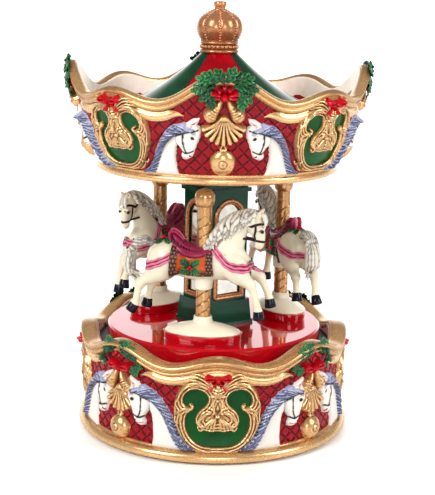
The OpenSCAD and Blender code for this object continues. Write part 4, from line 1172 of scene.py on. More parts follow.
def cartouche_reliefs():
    r, field = Relief((-20.4, 20.5), (3, 43.2), 0.29), Relief((-17, 17.1), (5.6, 37), 0.4)
    hole = spline(both_sides(FIELD), 150, True)
    d = r.pad(spline(both_sides(RIM), 110, True), 1.9, 1.5)
    to_hole = -r.depth_in(hole)
    ridges = 0.55 * np.abs(np.cos(np.pi * (to_hole - 0.1) / 1.5)) ** 1.5
    ridges = ridges * np.exp(-np.maximum(to_hole - 3.2, 0))
    r.h = np.where((d > 0.2) & (to_hole > 0), r.h + ridges * np.clip(d / 0.8, 0, 1), r.h)
    r.h = np.where(to_hole < 0, 1.5 + 2.6 * to_hole, r.h)
    for s in (1, -1):
        def half(points):
            return [(s * u, z) for u, z in points]

        # curls that stand into the field from its sides, and the shoulders of the frame
        r.stroke(half([(17.6, 19.5), (16.6, 23.4), (14.0, 25.2), (11.6, 25.2), (10.9, 26.4), (11.8, 27.2)]),
                 [1.6, 1.5, 1.2, 0.9, 0.8, 0.6], [1.4, 1.9, 2.1, 2.0, 1.9, 1.6], over=False)
        for k in range(3):
            r.stroke(half([(17.8 - k, 17.5 + k), (16.6 - k * 0.9, 22.2 + k * 0.4),
                           (13.6 - k * 0.6, 24.2 + k * 0.3)]),
                     [0.35, 0.6, 0.3], [0.3, 0.5, 0.2])
        r.stroke(half([(2.6, 35.6), (6.4, 37.6), (11.4, 37.0), (15.6, 33.6), (17.4, 28.4)]),
                 [0.8, 1.0, 0.9, 0.8, 0.3], [0.5, 0.9, 0.9, 0.7, 0.2])
        r.stroke(half([(3.4, 33.8), (6.6, 35.8), (10.8, 35.6), (14.0, 33.0)]), [0.3, 0.45, 0.45, 0.3],
                 [0.2, 0.5, 0.5, 0.2])
        r.stroke(half([(14.2, 9.4), (12.0, 6.6), (8.2, 5.4), (3.0, 5.6)]), [0.8, 1.0, 0.9, 0.5],
                 [0.6, 0.9, 0.8, 0.3])
        r.stroke(half([(13.2, 10.8), (15.2, 9.2), (16.6, 11.4)]), [0.5, 0.8, 0.4], [0.5, 0.8, 0.3])
        r.stroke(half([(16.6, 30.6), (18.6, 27.4), (18.9, 22.0), (17.6, 16.4), (14.8, 11.2)]),
                 [0.4, 0.7, 0.8, 0.7, 0.4], [0.4, 0.8, 0.9, 0.8, 0.4])
        # leaves that fan out under the bow
        for k in range(4):
            r.stroke(half([(1.6, 35.0 - 0.5 * k), (3.8 + 0.6 * k, 38.6 - 0.9 * k), (7.6 + 0.9 * k, 41.4 - 1.35 * k),
                           (12.2 + 1.1 * k, 41.0 - 1.7 * k)]), [0.6, 0.85, 0.85, 0.3], [2.0, 2.7, 2.5, 1.2],
                     over=False)
        # arms of the middle ornament, scrolled at their ends
        r.stroke(half([(1.2, 27.6), (3.2, 24.6), (6.0, 22.4), (7.9, 20.2), (7.6, 18.0), (5.8, 17.6), (5.4, 19.0),
                       (6.2, 19.8)]),
                 [1.3, 1.5, 1.4, 1.2, 1.0, 0.8, 0.7, 0.5], [1.6, 2.1, 2.2, 2.2, 2.1, 2.0, 2.0, 1.8], over=False)
        r.stroke(half([(0.9, 31.0), (2.2, 28.2), (1.6, 25.0), (2.6, 22.6)]), [1.2, 1.3, 1.2, 0.8],
                 [2.0, 2.2, 2.2, 1.8], over=False)
        for k in range(4):
            r.stroke(half([(0.5 + k * 0.5, 21.6 - k * 0.2), (1.3 + k * 1.15, 18.8 - k * 0.1),
                           (1.7 + k * 1.5, 15.9 + k * 0.25)]),
                     [0.6, 0.9, 0.8], [1.7, 2.3, 1.7], over=False)
        for k in range(3):
            r.stroke(half([(0.6 + k * 0.7, 23.4), (2.0 + k * 1.1, 25.6 - k * 0.9),
                           (4.4 + k * 0.6, 26.4 - k * 1.6)]),
                     [0.5, 0.6, 0.3], [0.4, 0.7, 0.3])
        r.stroke(half([(5.6, 16.2), (7.4, 15.6), (8.6, 17.0)]), [0.5, 0.7, 0.3], [1.5, 1.8, 1.4], over=False)
    bell = [(-0.9, 37.2), (0.9, 37.2), (1.9, 35.2), (2.5, 33.4), (3.6, 31.4), (3.2, 30.6), (-3.2, 30.6),
            (-3.6, 31.4), (-2.5, 33.4), (-1.9, 35.2)]
    r.pad(bell, 3.3, 2.4, None, 60)
    for z, half_width in ((34.6, 2.0), (33.4, 2.5), (31.3, 3.3)):
        r.stroke([(-half_width, z + 0.3), (0, z - 0.2), (half_width, z + 0.3)], [0.34, 0.34], [0.4, 0.4], None, 12)
    r.dome((0, 29.6), (1.1, 1.0), 2.4)
    r.dome((0, 22.2), (1.5, 1.5), 2.8)
    for k in range(5):
        r.cut([(0, 22.0), (2.2 * (k - 2), 15.2)], 0.2, 0.25)
    inside = field.depth_in(hole)
    field.h = np.where(inside > -1.2, 0.95 - 0.35 * np.clip(inside / 3.0, 0, 1) ** 0.5, -1.5)
    return r, field


cartouche, field = cartouche_reliefs()


def canopy_cartouche_z(z):
    return 129.2 + (z - 4.9) * 0.86


def canopy_cartouche_az(u):
    return np.degrees(u * 0.88 / FRIEZE_MIDDLE_R)


def cartouche_on_canopy(q, s):
    return on_canopy(q + 45, s, canopy_cartouche_z, canopy_cartouche_az)


for place_name, rider, place_at in (("base", "base", on_base), ("canopy", "carousel", cartouche_on_canopy)):
    for part_name, drawing, material, slot in (("frames", cartouche, gold, "antique_gold"),
                                               ("fields", field, deep_green, "shield_green")):
        relief_piece(f"{place_name}_cartouche_{part_name}", rider, material, slot, f"{place_name}_cartouches",
                     (drawing, place_at))


# Garland: heights are measured from the ball's centre
def garland_relief():
    r = Relief((-9.6, 9.7), (-7.4, 28), 0.27)
    r.dome((0, 0), (5.55, 5.6), 3.7)
    for k in range(5):
        a = math.radians(90 + 72 * k)
        r.dome((0.95 * math.cos(a), 0.3 + 0.95 * math.sin(a)), (0.75, 0.75), 0.3, None, 0.7, True)
    r.cut([(1.7 * math.cos(a), 0.3 + 1.7 * math.sin(a)) for a in np.linspace(0, 2 * np.pi, 14)], 0.18, 0.22, n=50)
    for s in (1, -1):
        r.dome((s * 3.4, -0.6), (0.5, 0.5), 0.25, None, 0.7, True)
    r.pad([(-1.5, 4.6), (1.5, 4.6), (1.7, 6.4), (-1.7, 6.4)], 1.9, 0.9)
    r.stroke([(-0.9, 6.6), (0, 7.8), (0.9, 6.6)], [0.45, 0.45], [0.9, 0.9], None, 12, over=False)
    fan_top = np.array([0.0, 18.6])
    for k in range(9):
        a = math.radians((k - 4) * 15.5)
        reach = 10.2 - 0.10 * abs(k - 4) ** 1.7
        tip = fan_top + reach * np.array([math.sin(a), -math.cos(a)])
        mid = fan_top + 0.55 * reach * np.array([math.sin(a * 0.9), -math.cos(a * 0.9)])
        r.stroke([fan_top + [0.3 * (k - 4), 0.3], mid, tip], [0.5, 0.85, 1.18], [1.5, 1.5, 2.2], None, 14,
                 over=False)
    for k in range(8):
        a = math.radians((k - 3.5) * 15.5)
        r.cut([fan_top + [0.3 * (k - 3.5), 0], fan_top + 9.4 * np.array([math.sin(a), -math.cos(a)])], 0.22, 0.35)
    r.pad([(-2.4, 17.6), (2.4, 17.6), (1.6, 19.6), (0, 20.2), (-1.6, 19.6)], 2.4, 1.2, None, 40)
    for s in (1, -1):
        r.stroke([(s * 1.6, 26.0), (s * 2.6, 23.9), (s * 3.9, 22.0), (s * 5.5, 19.9)], [0.9, 1.6, 2.0, 2.9],
                 [2.2, 3.0, 3.1, 3.0], None, 24, over=False)
        for along, wide in ((0.50, 1.9), (0.66, 2.2), (0.97, 3.0)):
            c = np.array([s * (1.6 + 3.9 * along), 26.0 - 6.1 * along])
            across = np.array([0.84, 0.54 * s])
            r.stroke([c - across * wide, c - [s * 0.15, 0.15], c + across * wide], [0.36, 0.36], [0.5, 0.5], None,
                     12)
        r.dome((s * 6.1, 18.6), (0.9, 0.9), 2.0)
    return r


def bow_relief():
    r = Relief((-8.6, 8.7), (-7.6, 6), 0.27)
    for s in (1, -1):
        loop = [(s * 0.4, 0), (s * 2.6, 2.2), (s * 5.4, 3.0), (s * 7.0, 1.4), (s * 6.2, -0.9), (s * 3.4, -1.2)]
        r.pad(loop, 3.1, 1.6, None, 50)
        r.cut([(s * 1.6, 0.3), (s * 4.0, 0.9), (s * 5.6, 0.6)], 0.4, 0.9)
        r.cut([(s * 1.4, 0.9), (s * 3.4, 2.0), (s * 5.0, 2.2)], 0.18, 0.3)
        r.pad([(s * 0.6, -0.8), (s * 2.6, -2.2), (s * 5.4, -4.6), (s * 6.4, -6.6), (s * 4.4, -6.0), (s * 3.0, -6.6),
               (s * 1.8, -4.0), (s * 0.2, -1.6)], 2.1, 1.0)
        r.cut([(s * 1.0, -1.6), (s * 3.0, -3.8), (s * 4.6, -5.6)], 0.25, 0.45)
    r.dome((0, 0.2), (1.5, 1.6), 3.2)
    r.cut([(-0.2, 1.4), (0.1, -1.0)], 0.18, 0.3)
    return r


garland = garland_relief()
bow = bow_relief()
BALL_AT, CANOPY_BALL_AT = 10.9, 134.4
relief_piece("base_garland_ornaments", "base", gold, "antique_gold", "base_garlands",
             (garland, lambda q, s: on_base(q + 45, s, BALL_AT)))
relief_piece("canopy_garland_ornaments", "carousel", gold, "antique_gold", "canopy_garlands",
             (garland, lambda q, s: on_canopy(q, s, lambda z: CANOPY_BALL_AT + z * 1.03)))


def bow_on(place_at, up, size, proud):
    def place(u, z, h):
        return place_at(u * size, up + z * size, h * proud)
    return place


relief_piece("base_bows", "base", bow_red, "bow_red", "base_garlands",
             (bow, lambda q, s: bow_on(on_base(q + 45), BALL_AT + 28.0, 0.95, 1.25)),
             (bow, lambda q, s: bow_on(on_base(q), 39.2, 0.86, 1.6)))
relief_piece("canopy_bows", "carousel", bow_red, "bow_red", "canopy_garlands",
             (bow, lambda q, s: bow_on(on_canopy(q), CANOPY_BALL_AT + 28.2, 0.98, 1.25)),
             (bow, lambda q, s: bow_on(on_canopy(q + 45), 159.4, 0.78, 1.9)))


# ---------------------------------------------------------------- horses

# A horse's own frame: x ahead of its pole, y to its left, z from the table.
# NEAR is the side away from the column.
NEAR, FAR = -1, 1
HIDE, HAIR, HAIR_DARK, HOOF = (0.64, 0.59, 0.46), (0.62, 0.58, 0.50), (0.07, 0.06, 0.065), (0.003, 0.005, 0.012)
PLUM, PINK, MAROON = (0.22, 0.015, 0.05), (0.54, 0.15, 0.23), (0.22, 0.02, 0.06)
ORANGE, BORDER, STRAP = (0.52, 0.085, 0.012), (0.05, 0.022, 0.018), (0.03, 0.010, 0.008)


def at_y(points, y):
    return [(x, y, z) for x, z in points]


body = Clay((-38, -11, 59), (33, 11, 113), 0.38)
body.egg((-1, 0, 84.7), (16, 6.5, 7.6), 0)
body.egg((12.8, 0, 85.4), (8.9, 6.1, 7.5), 3.0)
body.egg((-16.8, 0, 87.0), (9.2, 6.8, 8.1), 3.0)
body.limb([(9.5, 0, 89), (12.3, 0, 95), (14.6, 0, 101), (18.2, 0, 105), (22, 0, 106.2)], [7.4, 6.0, 5.0, 4.1, 3.4],
          2.6, (1, 1.38, 1))
body.limb([(22.0, 0, 105.9), (24.0, 0, 101.2), (25.0, 0, 97.0), (24.8, 0, 94.7)], [4.1, 3.3, 2.35, 2.05], 1.0,
          (1, 1.36, 1))
body.egg((21.7, 0, 102.7), (2.9, 2.75, 3.2), 1.0)
for s in (NEAR, FAR):
    body.egg((25.4, s * 1.1, 95.4), (1.5, 1.0, 1.4), 0.5)
    body.egg((25.7, s * 2.2, 102.0), (1.7, 0.9, 0.9), 0.7)
    body.limb([(23.9, s * 1.5, 107.4), (25.2, s * 2.0, 109.2), (26.6, s * 1.8, 110.8)], [1.5, 1.15, 0.3], 0.5)
    body.egg((26.2, s * 2.7, 109.1), (0.8, 0.8, 1.1), 0.3, cut=True)
    body.egg((26.7, s * 1.5, 95.2), (0.5, 0.5, 0.6), 0.25, cut=True)
    body.egg((26.4, s * 3.1, 101.0), (0.8, 0.7, 0.6), 0.3, cut=True)
    body.limb([(23.2, s * 2.3, 94.3), (24.9, s * 1.9, 93.9), (26.3, s * 1.2, 94.3)], [0.22, 0.22, 0.2], 0.25,
              cut=True)
    body.egg((15.6, s * 4.6, 83.6), (5.0, 2.2, 6.0), 1.6)
    body.egg((-18.2, s * 4.9, 85.6), (6.6, 2.6, 7.2), 1.8)
    body.limb([(8.5, s * 5.6, 92), (13.0, s * 5.6, 88.6), (17.8, s * 4.6, 87.6)], [0.35, 0.4, 0.35], 0.5, cut=True)

LEGS = [
    (NEAR, [(12.8, 85.0), (17.4, 80.6), (22.0, 76.8)], [5.2, 3.7, 2.3],
     [(22.0, 76.8), (23.8, 72.0), (25.0, 67.4), (25.5, 65.2)], [2.25, 1.65, 1.65, 2.05], (25.9, 61.2)),
    (FAR, [(13.2, 85.4), (19.2, 82.2), (25.2, 79.2)], [5.2, 3.5, 2.2],
     [(25.2, 79.2), (27.4, 75.0), (29.0, 71.2), (29.7, 69.4)], [2.2, 1.6, 1.6, 2.0], (30.4, 65.4)),
    (NEAR, [(-16.4, 86.4), (-20.6, 81.0), (-25.6, 77.4), (-28.2, 75.4)], [6.8, 4.9, 2.8, 2.15],
     [(-28.2, 75.4), (-29.6, 71.0), (-30.2, 67.6), (-30.9, 65.6)], [2.1, 1.6, 1.6, 2.0], (-32.8, 62.2)),
    (FAR, [(-16.0, 86.4), (-17.6, 80.4), (-21.8, 76.4), (-24.6, 74.2)], [6.6, 4.6, 2.7, 2.1],
     [(-24.6, 74.2), (-25.4, 70.4), (-26.0, 67.8), (-26.2, 66.6)], [2.05, 1.55, 1.6, 2.0], (-27.0, 62.8))]
hooves = Parts()
for side_of, upper, upper_r, lower, lower_r, toe in LEGS:
    y = side_of * 3.8
    body.limb([(upper[0][0], side_of * 2.8, upper[0][1])] + at_y(upper[1:], y), upper_r, 2.2)
    body.limb(at_y(lower, y), lower_r, 0.9)
    body.egg((lower[0][0], y, lower[0][1]), (2.3, 2.0, 2.6), 0.9)
    a, b = np.array([lower[-1][0], y, lower[-1][1]]), np.array([toe[0], y, toe[1]])
    hooves.add(*tube([a - (b - a) * 0.06, a + (b - a) * 0.10, a + (b - a) * 0.55, a + (b - a) * 0.93, b],
                     [1.9, 2.15, 2.4, 2.65, 2.45], 22))

hair = Clay((-40, -11, 68), (31, 11, 114.5), 0.34)
strands = []


def strand(points, radii, soft, flat=(1, 1, 1)):
    hair.limb(points, radii, soft, flat)
    strands.append(spline(points, 12))


CREST = spline([(1.6, 94.2), (3.6, 98.0), (6.6, 102.6), (10.8, 106.6), (15.6, 109.2), (20.4, 110.4),
                (24.4, 109.6)], 40)
hair.limb([(x, 0, z - 1.1) for x, z in CREST[::4]], np.interp(np.arange(10), [0, 4, 9], [1.2, 2.0, 1.7]), 0.4)
hair_random = np.random.default_rng(5)
for s in (NEAR, FAR):
    for k in range(19):
        x, z = CREST[2 + 2 * k] if 2 + 2 * k < 40 else CREST[-1]
        fall = np.interp(k, [0, 4, 12, 18], [5.0, 8.6, 9.8, 5.4]) * (0.84 + 0.32 * hair_random.random())
        sweep = np.interp(k, [0, 9, 18], [-0.6, -1.9, -3.4]) * (0.7 + 0.5 * hair_random.random())
        wave = 0.8 * (1 if k % 2 else -1)
        strand([(x, s * 0.7, z - 0.5), (x + 0.5 * sweep + wave, s * 3.0, z - 0.34 * fall),
                (x + 0.9 * sweep - wave, s * 4.2, z - 0.72 * fall),
                (x + 1.5 * sweep + 0.6 * wave, s * 4.5, z - fall)],
               [1.0, 1.12, 0.95, 0.35], 0.18, (1, 1.15, 1))
for y, lean in ((-1.0, -0.7), (0.1, 0.2), (1.0, 0.9)):
    strand([(23.6, y * 0.6, 109.4), (26.4, y, 108.0), (27.6, y + lean, 105.2), (27.4, y + lean * 1.4, 103.2)],
           [1.1, 1.0, 0.8, 0.3], 0.2)
for k in range(11):
    y, out = 2.6 * math.sin(k * 2.4), 1.7 * math.cos(k * 2.4)
    end = (-30.2 + 2.4 * math.cos(k * 1.3), y * 0.9, 74.0 + 2.6 * (k % 4))
    strand([(-23.6, y * 0.25, 93.0), (-27.4, y * 0.6, 94.6 + out * 0.5),
            (-31.6 + out * 0.3, y * 0.9, 92.2 + out * 0.8),
               (-34.0 + out, y, 86.8), (-34.0 + out, y * 1.1, 80.8), end], [1.5, 1.35, 1.3, 1.3, 1.15, 0.35], 0.15)

skin_v, skin_f = body.mesh()
hair_v, hair_f = hair.mesh()


def coloured(v, base, spots):
    """A paint that is base, drifting to each (colour, centre, size) near its centre."""
    paint = np.broadcast_to(np.asarray(base, float), (len(v), 3)).copy()
    for colour, centre, size in spots:
        d = (((v - np.asarray(centre)) / np.asarray(size)) ** 2).sum(1)
        share = np.exp(-d)[:, None]
        paint = paint * (1 - share) + np.asarray(colour) * share
    return paint


skin_paint = coloured(skin_v, HIDE, [((0.74, 0.60, 0.50), (25.2, 0, 94.2), (2.2, 4, 1.9)),
                                     ((0.64, 0.40, 0.34), (26.2, 0, 109.2), (1.0, 4, 1.4)),
                                     ((0.76, 0.66, 0.48), (24.5, 0, 70), (7, 8, 7)),
                                     ((0.76, 0.66, 0.48), (-28, 0, 70), (7, 8, 7))])
to_strand = np.sort(np.stack([np.min([((hair_v - p) ** 2).sum(1) for p in line], 0) for line in strands],
                             1) ** 0.5, 1)
between = np.exp(-((to_strand[:, 1] - to_strand[:, 0]) / 0.18) ** 2)
streak = np.sin(hair_v[:, 0] * 1.7 + 4 * to_strand[:, 0]) * 0.5 + 0.5
lock = np.clip(0.75 * between + 0.15 * streak ** 3, 0, 1)[:, None]
hair_paint = np.asarray(HAIR) * (1 - lock) + np.asarray(HAIR_DARK) * lock


def ring_on(centre, ahead, count, reach=24, sag=0.0):
    """Points round the body where rays towards a centre, in the plane of ahead and y, meet its surface."""
    a = np.linspace(0, 2 * np.pi, count, endpoint=False)
    out = np.cos(a)[:, None] * (np.asarray(ahead, float) / np.linalg.norm(ahead)) + np.sin(a)[:, None] * [0, 1, 0]
    c = np.asarray(centre, float) + np.array([0, 0, -1.0]) * (sag * np.sin(a) ** 2)[:, None]
    return body.hit(c + out * reach, -out, reach), out


tackle = Parts()


def strap(points, out, lift, width, colour, flat, closed=False, sides=8):
    tackle.add(*tube(points + lift * out, width, sides, closed, up=out, flat=flat), colour)


def side_line(points, s, n=30):
    """A line drawn on the horse's side, given as (x, z), dropped onto the surface."""
    p = spline(points, n)
    start = np.stack([p[:, 0], np.full(n, s * 14.0), p[:, 1]], 1)
    return body.hit(start, (0, -s, 0), 14), np.tile((0, s, 0.0), (n, 1))


for s in (NEAR, FAR):
    p, out = side_line([(27.0, 104.0), (25.2, 104.4), (23.2, 104.0), (21.2, 103.3), (19.6, 104.6)], s)
    strap(p, out, 0.1, 0.55, STRAP, 0.5)
    p, out = side_line([(23.2, 104.0), (23.3, 101.6), (22.8, 99.2), (23.3, 97.0)], s)
    strap(p, out, 0.1, 0.5, STRAP, 0.5)
    tackle.add_ball(0.85, [26.3, s * 2.72, 101.0], 8, 12, (0.008, 0.006, 0.006), (1, 0.6, 0.8))
    p, out = side_line([(25.0, 101.2), (26.0, 102.0), (27.1, 101.5)], s, 12)
    strap(p, out, 0.1, 0.26, (0.12, 0.07, 0.05), 0.8)
p, out = ring_on((24.2, 0, 96.7), (1, 0, -0.15), 40, 8)
strap(p, out, 0.12, 0.55, STRAP, 0.5, True)

# Chest ribbon and rump swag: three soft strands each, sagging on both sides
for up, wide, colour in ((1.5, 0.52, PINK), (0.8, 0.5, PLUM), (0.1, 0.62, PINK), (-0.65, 0.42, PLUM),
                         (-1.35, 0.58, PINK)):
    wrinkle = 0.16 * np.sin(np.arange(84) * 0.9 + 3 * up)
    for centre, ahead, sag in (((12.4, 0, 89.4 + up), (9.2, 0, -4.2), 3.4),
                               ((-16.8, 0, 88.4 + up), (-8.6, 0, -4.4), 1.0)):
        p, out = ring_on(centre, ahead, 84, sag=sag)
        strap(p + wrinkle[:, None] * [0, 0, 1], out, 0.22, wide, colour, 0.8, True, 10)


def blanket(rows=120, cols=150):
    """Saddle cloth over the back, with an ornate border; returns its top face closed by an inner face."""
    across = np.linspace(-127, 127, cols)
    s = np.linspace(0, 1, rows)
    low = np.abs(across) / 127
    x = (-13.4 - 1.4 * low)[None, :] + (17.4 + 2.6 * low)[None, :] * s[:, None]
    a = np.radians(across)[None, :] + 0 * s[:, None]
    out = np.stack([0 * a, np.sin(a), np.cos(a)], -1)
    centre = np.stack([x, 0 * x, 84.8 + 0 * x], -1)
    p = body.hit(centre + 17 * out, -out, 17)
    edge = np.minimum(np.minimum(s, 1 - s)[:, None] * 19, (1 - low)[None, :] * 20)
    border = edge < 3.1
    h = 0.55 + 0.35 * border + 0.25 * np.exp(-((edge - 3.1) / 0.35) ** 2) - 0.35 * np.clip(1 - edge / 0.4, 0, 1)
    along = np.where((np.minimum(s, 1 - s)[:, None] * 19 < 3.1), a * 8.2, x * 1.25)
    scroll = np.abs(np.sin(along * 1.9) * np.cos(edge * 2.2 + 0.8 * np.sin(along * 1.9)))
    h = h + np.where(border, 0.34 * scroll, 0)
    teeth = np.abs(np.sin(x * 3.4))
    h = h + np.where((1 - low)[None, :] * 20 < 1.1, 0.3 * teeth, 0)
    top = p + out * h[..., None]
    paint = np.where(border[..., None], np.asarray(BORDER) + (scroll > 0.62)[...,
                                                                             None] * np.array([0.19, 0.09, 0.04]),
                     np.asarray(ORANGE))
    under = p - out * 0.3
    return (np.concatenate([top.reshape(-1, 3), under.reshape(-1, 3)]), slab_faces(rows, cols),
            np.concatenate([paint.reshape(-1, 3)] * 2))


tackle.add(*blanket())

# Saddle: a ribbed seat from pommel to high cantle, with a pink loop over the cantle
seat = Clay((-18, -9, 87), (9, 9, 102), 0.34)
seat.limb([(4.6, 0, 93.9), (1.2, 0, 92.2), (-4.0, 0, 91.4), (-8.6, 0, 93.0), (-12.2, 0, 96.2), (-13.8, 0, 98.3)],
          [1.5, 1.7, 2.0, 2.0, 1.7, 0.9], 0.5, (1, 0.42, 1))
for s in (NEAR, FAR):
    seat.limb([(4.0, s * 3.2, 92.4), (-1.0, s * 5.4, 89.8), (-8.0, s * 5.8, 90.6), (-12.8, s * 4.2, 93.6)],
              [1.2, 1.5, 1.5, 1.0], 0.8)
for k in range(15):
    x = 4.2 - 1.25 * k
    seat.limb([(x + 2.6, -8.5, 86.4), (x, 0, 93.4 + max(0, -x - 4) * 0.62), (x + 2.6, 8.5, 86.4)],
              [0.42, 0.3, 0.42], 0.3, cut=True)
tackle.add(*seat.mesh(), MAROON)
for dy, colour in ((-1.9, PLUM), (0, PINK), (1.9, PLUM)):
    v, f = tube(spline([(-8.8, dy * 1.4, 95.6), (-11.4, dy * 1.2, 98.4), (-14.0, dy, 99.5), (-15.4, dy, 97.6),
                        (-14.6, dy * 1.2, 94.6)], 26), [*np.linspace(0.5, 1.05, 13), *np.linspace(1.05, 0.6, 13)],
                8, up=(0, 1, 0), flat=1.2)
    tackle.add(v, f, colour)


# ---------------------------------------------------------------- holly

LEAF_DARK, LEAF_LIGHT = (0.0, 0.030, 0.010), (0.08, 0.42, 0.12)


def holly_leaf(length=7.4, width=5.4, droop=0.12, teeth=3, rows=26, cols=15):
    """A spiny leaf along +x, domed and with a sunk midrib and side veins; closed underneath."""
    t = np.linspace(0, 1, rows)
    outline = np.sin(np.pi * np.clip(t, 0, 1)) ** 0.62
    spikes = np.abs(np.cos(np.pi * t * teeth)) ** 2.2
    half = width / 2 * outline * (0.70 + 0.42 * spikes) * (1 - 0.35 * t ** 3)
    s = np.linspace(-1, 1, cols)
    x = length * t[:, None] + 0.16 * length * (np.abs(s) ** 1.6)[None, :] * (spikes * outline)[:, None] * 0.6
    y = half[:, None] * s[None, :]
    veins = 0.10 * np.cos(2 * np.pi * (t[:, None] * teeth * 1.5 - 0.9 * np.abs(s)[None, :]))
    z = (0.62 * (1 - s[None, :] ** 2) * outline[:, None] - 0.34 * np.exp(-(s[None, :] / 0.13) ** 2) * outline[:,
                                                                                                              None]
         + veins * outline[:, None] + 0.5 * (np.abs(s) ** 3)[None, :] * spikes[:, None] * outline[:, None]
         - droop * length * (t[:, None] ** 2))
    top = np.stack([x, y, z], -1).reshape(-1, 3)
    under = np.stack([x, y, z - 0.55], -1).reshape(-1, 3)
    # Paint: lighter green at the rim, the midrib and the veins; towards its base the leaf is darker, a painted
    # shade where the next leaf's tip lies over it
    light = 0.10 + 0.9 * (np.abs(s)[None, :] ** 5) + 0.45 * np.exp(-(s[None, :] / 0.12) ** 2)
    light = np.clip(light + 0.35 * np.clip(veins / 0.1, 0, 1) ** 3, 0, 1) * (0.12 + 0.88 * t[:, None] ** 0.8)
    paint = np.asarray(LEAF_DARK) + light.reshape(-1, 1) * (np.asarray(LEAF_LIGHT) - np.asarray(LEAF_DARK))
    return (np.concatenate([top, under]), slab_faces(rows, cols),
            np.concatenate([paint, np.full(top.shape, LEAF_DARK)]))


def leaf_frame(at, along, out):
    """A matrix that puts a leaf at a point, pointing along, with its face outwards."""
    x = np.asarray(along, float) / np.linalg.norm(along)
    z = np.asarray(out, float) - x * np.dot(out, x)
    z /= np.linalg.norm(z)
    m = np.eye(4)
    m[:3, 0], m[:3, 1], m[:3, 2], m[:3, 3] = x, np.cross(z, x), z, at
    return m


def add_leaves(parts, spots, **size):
    for k, (at, along, out, scale) in enumerate(spots):
        v, f, c = holly_leaf(**size)
        parts.add(move(leaf_frame(at, along, out), v * scale), f, c * (1.0, 0.6, 1.25, 0.8)[k % 4])


horse_leaves, horse_berries = Parts(), Parts()
chest, chest_out = np.array([20.7, 0, 84.4]), np.array([1.0, 0, -0.15])
rump = np.array([-18.4, 0, 95.4])
for s in (NEAR, FAR):
    p, out = side_line([(-6.2, 84.4), (-4.2, 84.6)], s, 2)
    middle = p.mean(0) + [0, s * 0.9, 0]
    add_leaves(horse_leaves, [(middle, (dx, 0, dz), (0, s, 0.1), 0.74) for dx, dz in
                              ((1, 0.75), (-1, 0.75), (1, -0.75), (-1, -0.75))], droop=0.05)
    for dx, dz in ((0, 0.2), (0.8, -0.7), (-0.7, -0.6)):
        horse_berries.add_ball(0.62, middle + [dx, s * 0.85, dz], 7)
    add_leaves(horse_leaves, [(rump + [1.0, s * 1.2, 0.4], (0.6, s * 1.0, -0.35), (0, s * 0.5, 1), 0.55),
                              (rump + [-0.4, s * 1.0, 0.3], (-1.0, s * 0.9, -0.5), (-0.2, s * 0.4, 1), 0.55)])
    add_leaves(horse_leaves, [(chest + [0.2, s * 0.5, 0.6], (0.25, s * 1, 0.9), (1, s * 0.4, 0), 0.56),
                              (chest + [0.2, s * 0.5, -0.4], (0.2, s * 1, -0.9), (1, s * 0.5, 0), 0.56)])
for at in (chest + [1.0, 0.5, 0.3], chest + [1.0, -0.6, 0], rump + [0.2, 0.2, 1.0], rump + [-0.5, -0.7, 0.9]):
    horse_berries.add_ball(0.7, at, 7)

HORSES = ["horse_1", "horse_2", "horse_3"]
skin = Parts()
skin.add(skin_v, skin_f, skin_paint)
skin.copies(HORSE_PLACES).make("horses", horse_paint, "carousel", "horse_white", stands_for=HORSES, rounds=5)
locks = Parts()
locks.add(hair_v, hair_f, hair_paint)
locks.copies(HORSE_PLACES).make("manes_and_tails", horse_paint, "carousel", "horse_white", stands_for=HORSES,
                                rounds=4)
hoof_look = enamel("hoof_black", HOOF, (0.012, 0.014, 0.022), 0.14)
hooves.copies(HORSE_PLACES).make("hooves", hoof_look, "carousel", "plate_black", stands_for=HORSES)
tackle.copies(HORSE_PLACES).make("saddles_and_ribbons", tack, "carousel", "tack", rounds=4)
horse_leaves.copies(HORSE_PLACES).make("horse_holly", leaf_green, "carousel", "holly_green", rounds=3)
horse_berries.copies(HORSE_PLACES).make("horse_berries", bow_red, "carousel", "bow_red", rounds=3)


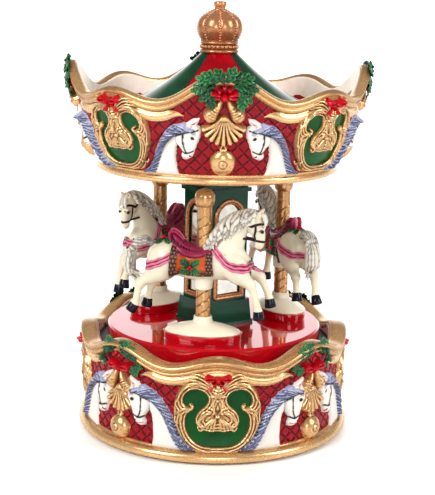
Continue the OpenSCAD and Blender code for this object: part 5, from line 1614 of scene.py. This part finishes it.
def crest_holly(top, r_at, crest, spots, scale, lift, seed):
    """Leaves along a crest, mirrored about its middle: (degrees aside, height from the crest, lean)."""
    pick = np.random.default_rng(seed)
    leaves = []
    for s in (1, -1):
        for aside, dz, lean in spots:
            az = crest + s * (aside + 0.5 * (pick.random() - 0.5))
            z = float(top(az)) + dz
            a = math.radians(lean + 16 * (pick.random() - 0.5))
            side_dir, out, up = on_wall(az + 90, 1.0, 0.0), on_wall(az, 1.0, 0.0), np.array([0, 0, 1.0])
            at = on_wall(az, float(r_at(z)) + lift + 0.9 * pick.random(), z)
            along = s * math.cos(a) * side_dir + math.sin(a) * up
            leaves.append((at, along, out + 0.35 * up + 0.3 * (pick.random() - 0.5) * side_dir,
                           scale * (0.9 + 0.25 * pick.random())))
    return leaves


# Each leaf of a spray: degrees aside, height from the crest, lean
BASE_SPRAY = [(0.2, -2.0, 12), (1.2, -3.4, -18), (2.6, -1.5, 20), (3.6, -3.7, -22), (5.2, -2.2, -2),
              (6.6, -3.6, -28), (7.4, -8.6, -52), (8.2, -8.2, 2)]
CANOPY_SPRAY = [(0.3, -4.6, 60), (1.9, -4.0, 36), (3.0, -5.4, 4), (3.9, -3.6, 18), (4.7, -6.2, -44),
                (5.6, -4.6, -14), (5.2, -7.6, -88)]
base_holly, base_berries = Parts(), Parts()
canopy_holly, canopy_berries = Parts(), Parts()
for q in QUARTERS:
    add_leaves(base_holly, crest_holly(base_top, lambda z: DRUM_R, q + 45, BASE_SPRAY, 0.68, 2.3, 3 + q))
    add_leaves(canopy_holly, crest_holly(canopy_top, canopy_wall_r, q, CANOPY_SPRAY, 0.98, 2.6, 23 + q))
    for dz, da, r in ((-6.4, 1.5, 2.9), (-6.9, -1.7, 2.9), (-5.4, -0.2, 3.2)):
        base_berries.add_ball(0.8, on_wall(q + 45 + da, DRUM_R + r, float(base_top(q + 45)) + dz), 8, 12)
        canopy_berries.add_ball(0.8, on_wall(q + da * 1.1, float(canopy_wall_r(166)) + r - 0.2, 171.6 + dz), 8, 12)
base_holly.make("base_holly", leaf_green, "base", "holly_green", stands_for=["base_garlands"], rounds=3)
canopy_holly.make("canopy_holly", leaf_green, "carousel", "holly_green", stands_for=["canopy_garlands"], rounds=3)
base_berries.make("base_berries", bow_red, "base", "bow_red", rounds=3)
canopy_berries.make("canopy_berries", bow_red, "carousel", "bow_red", rounds=3)
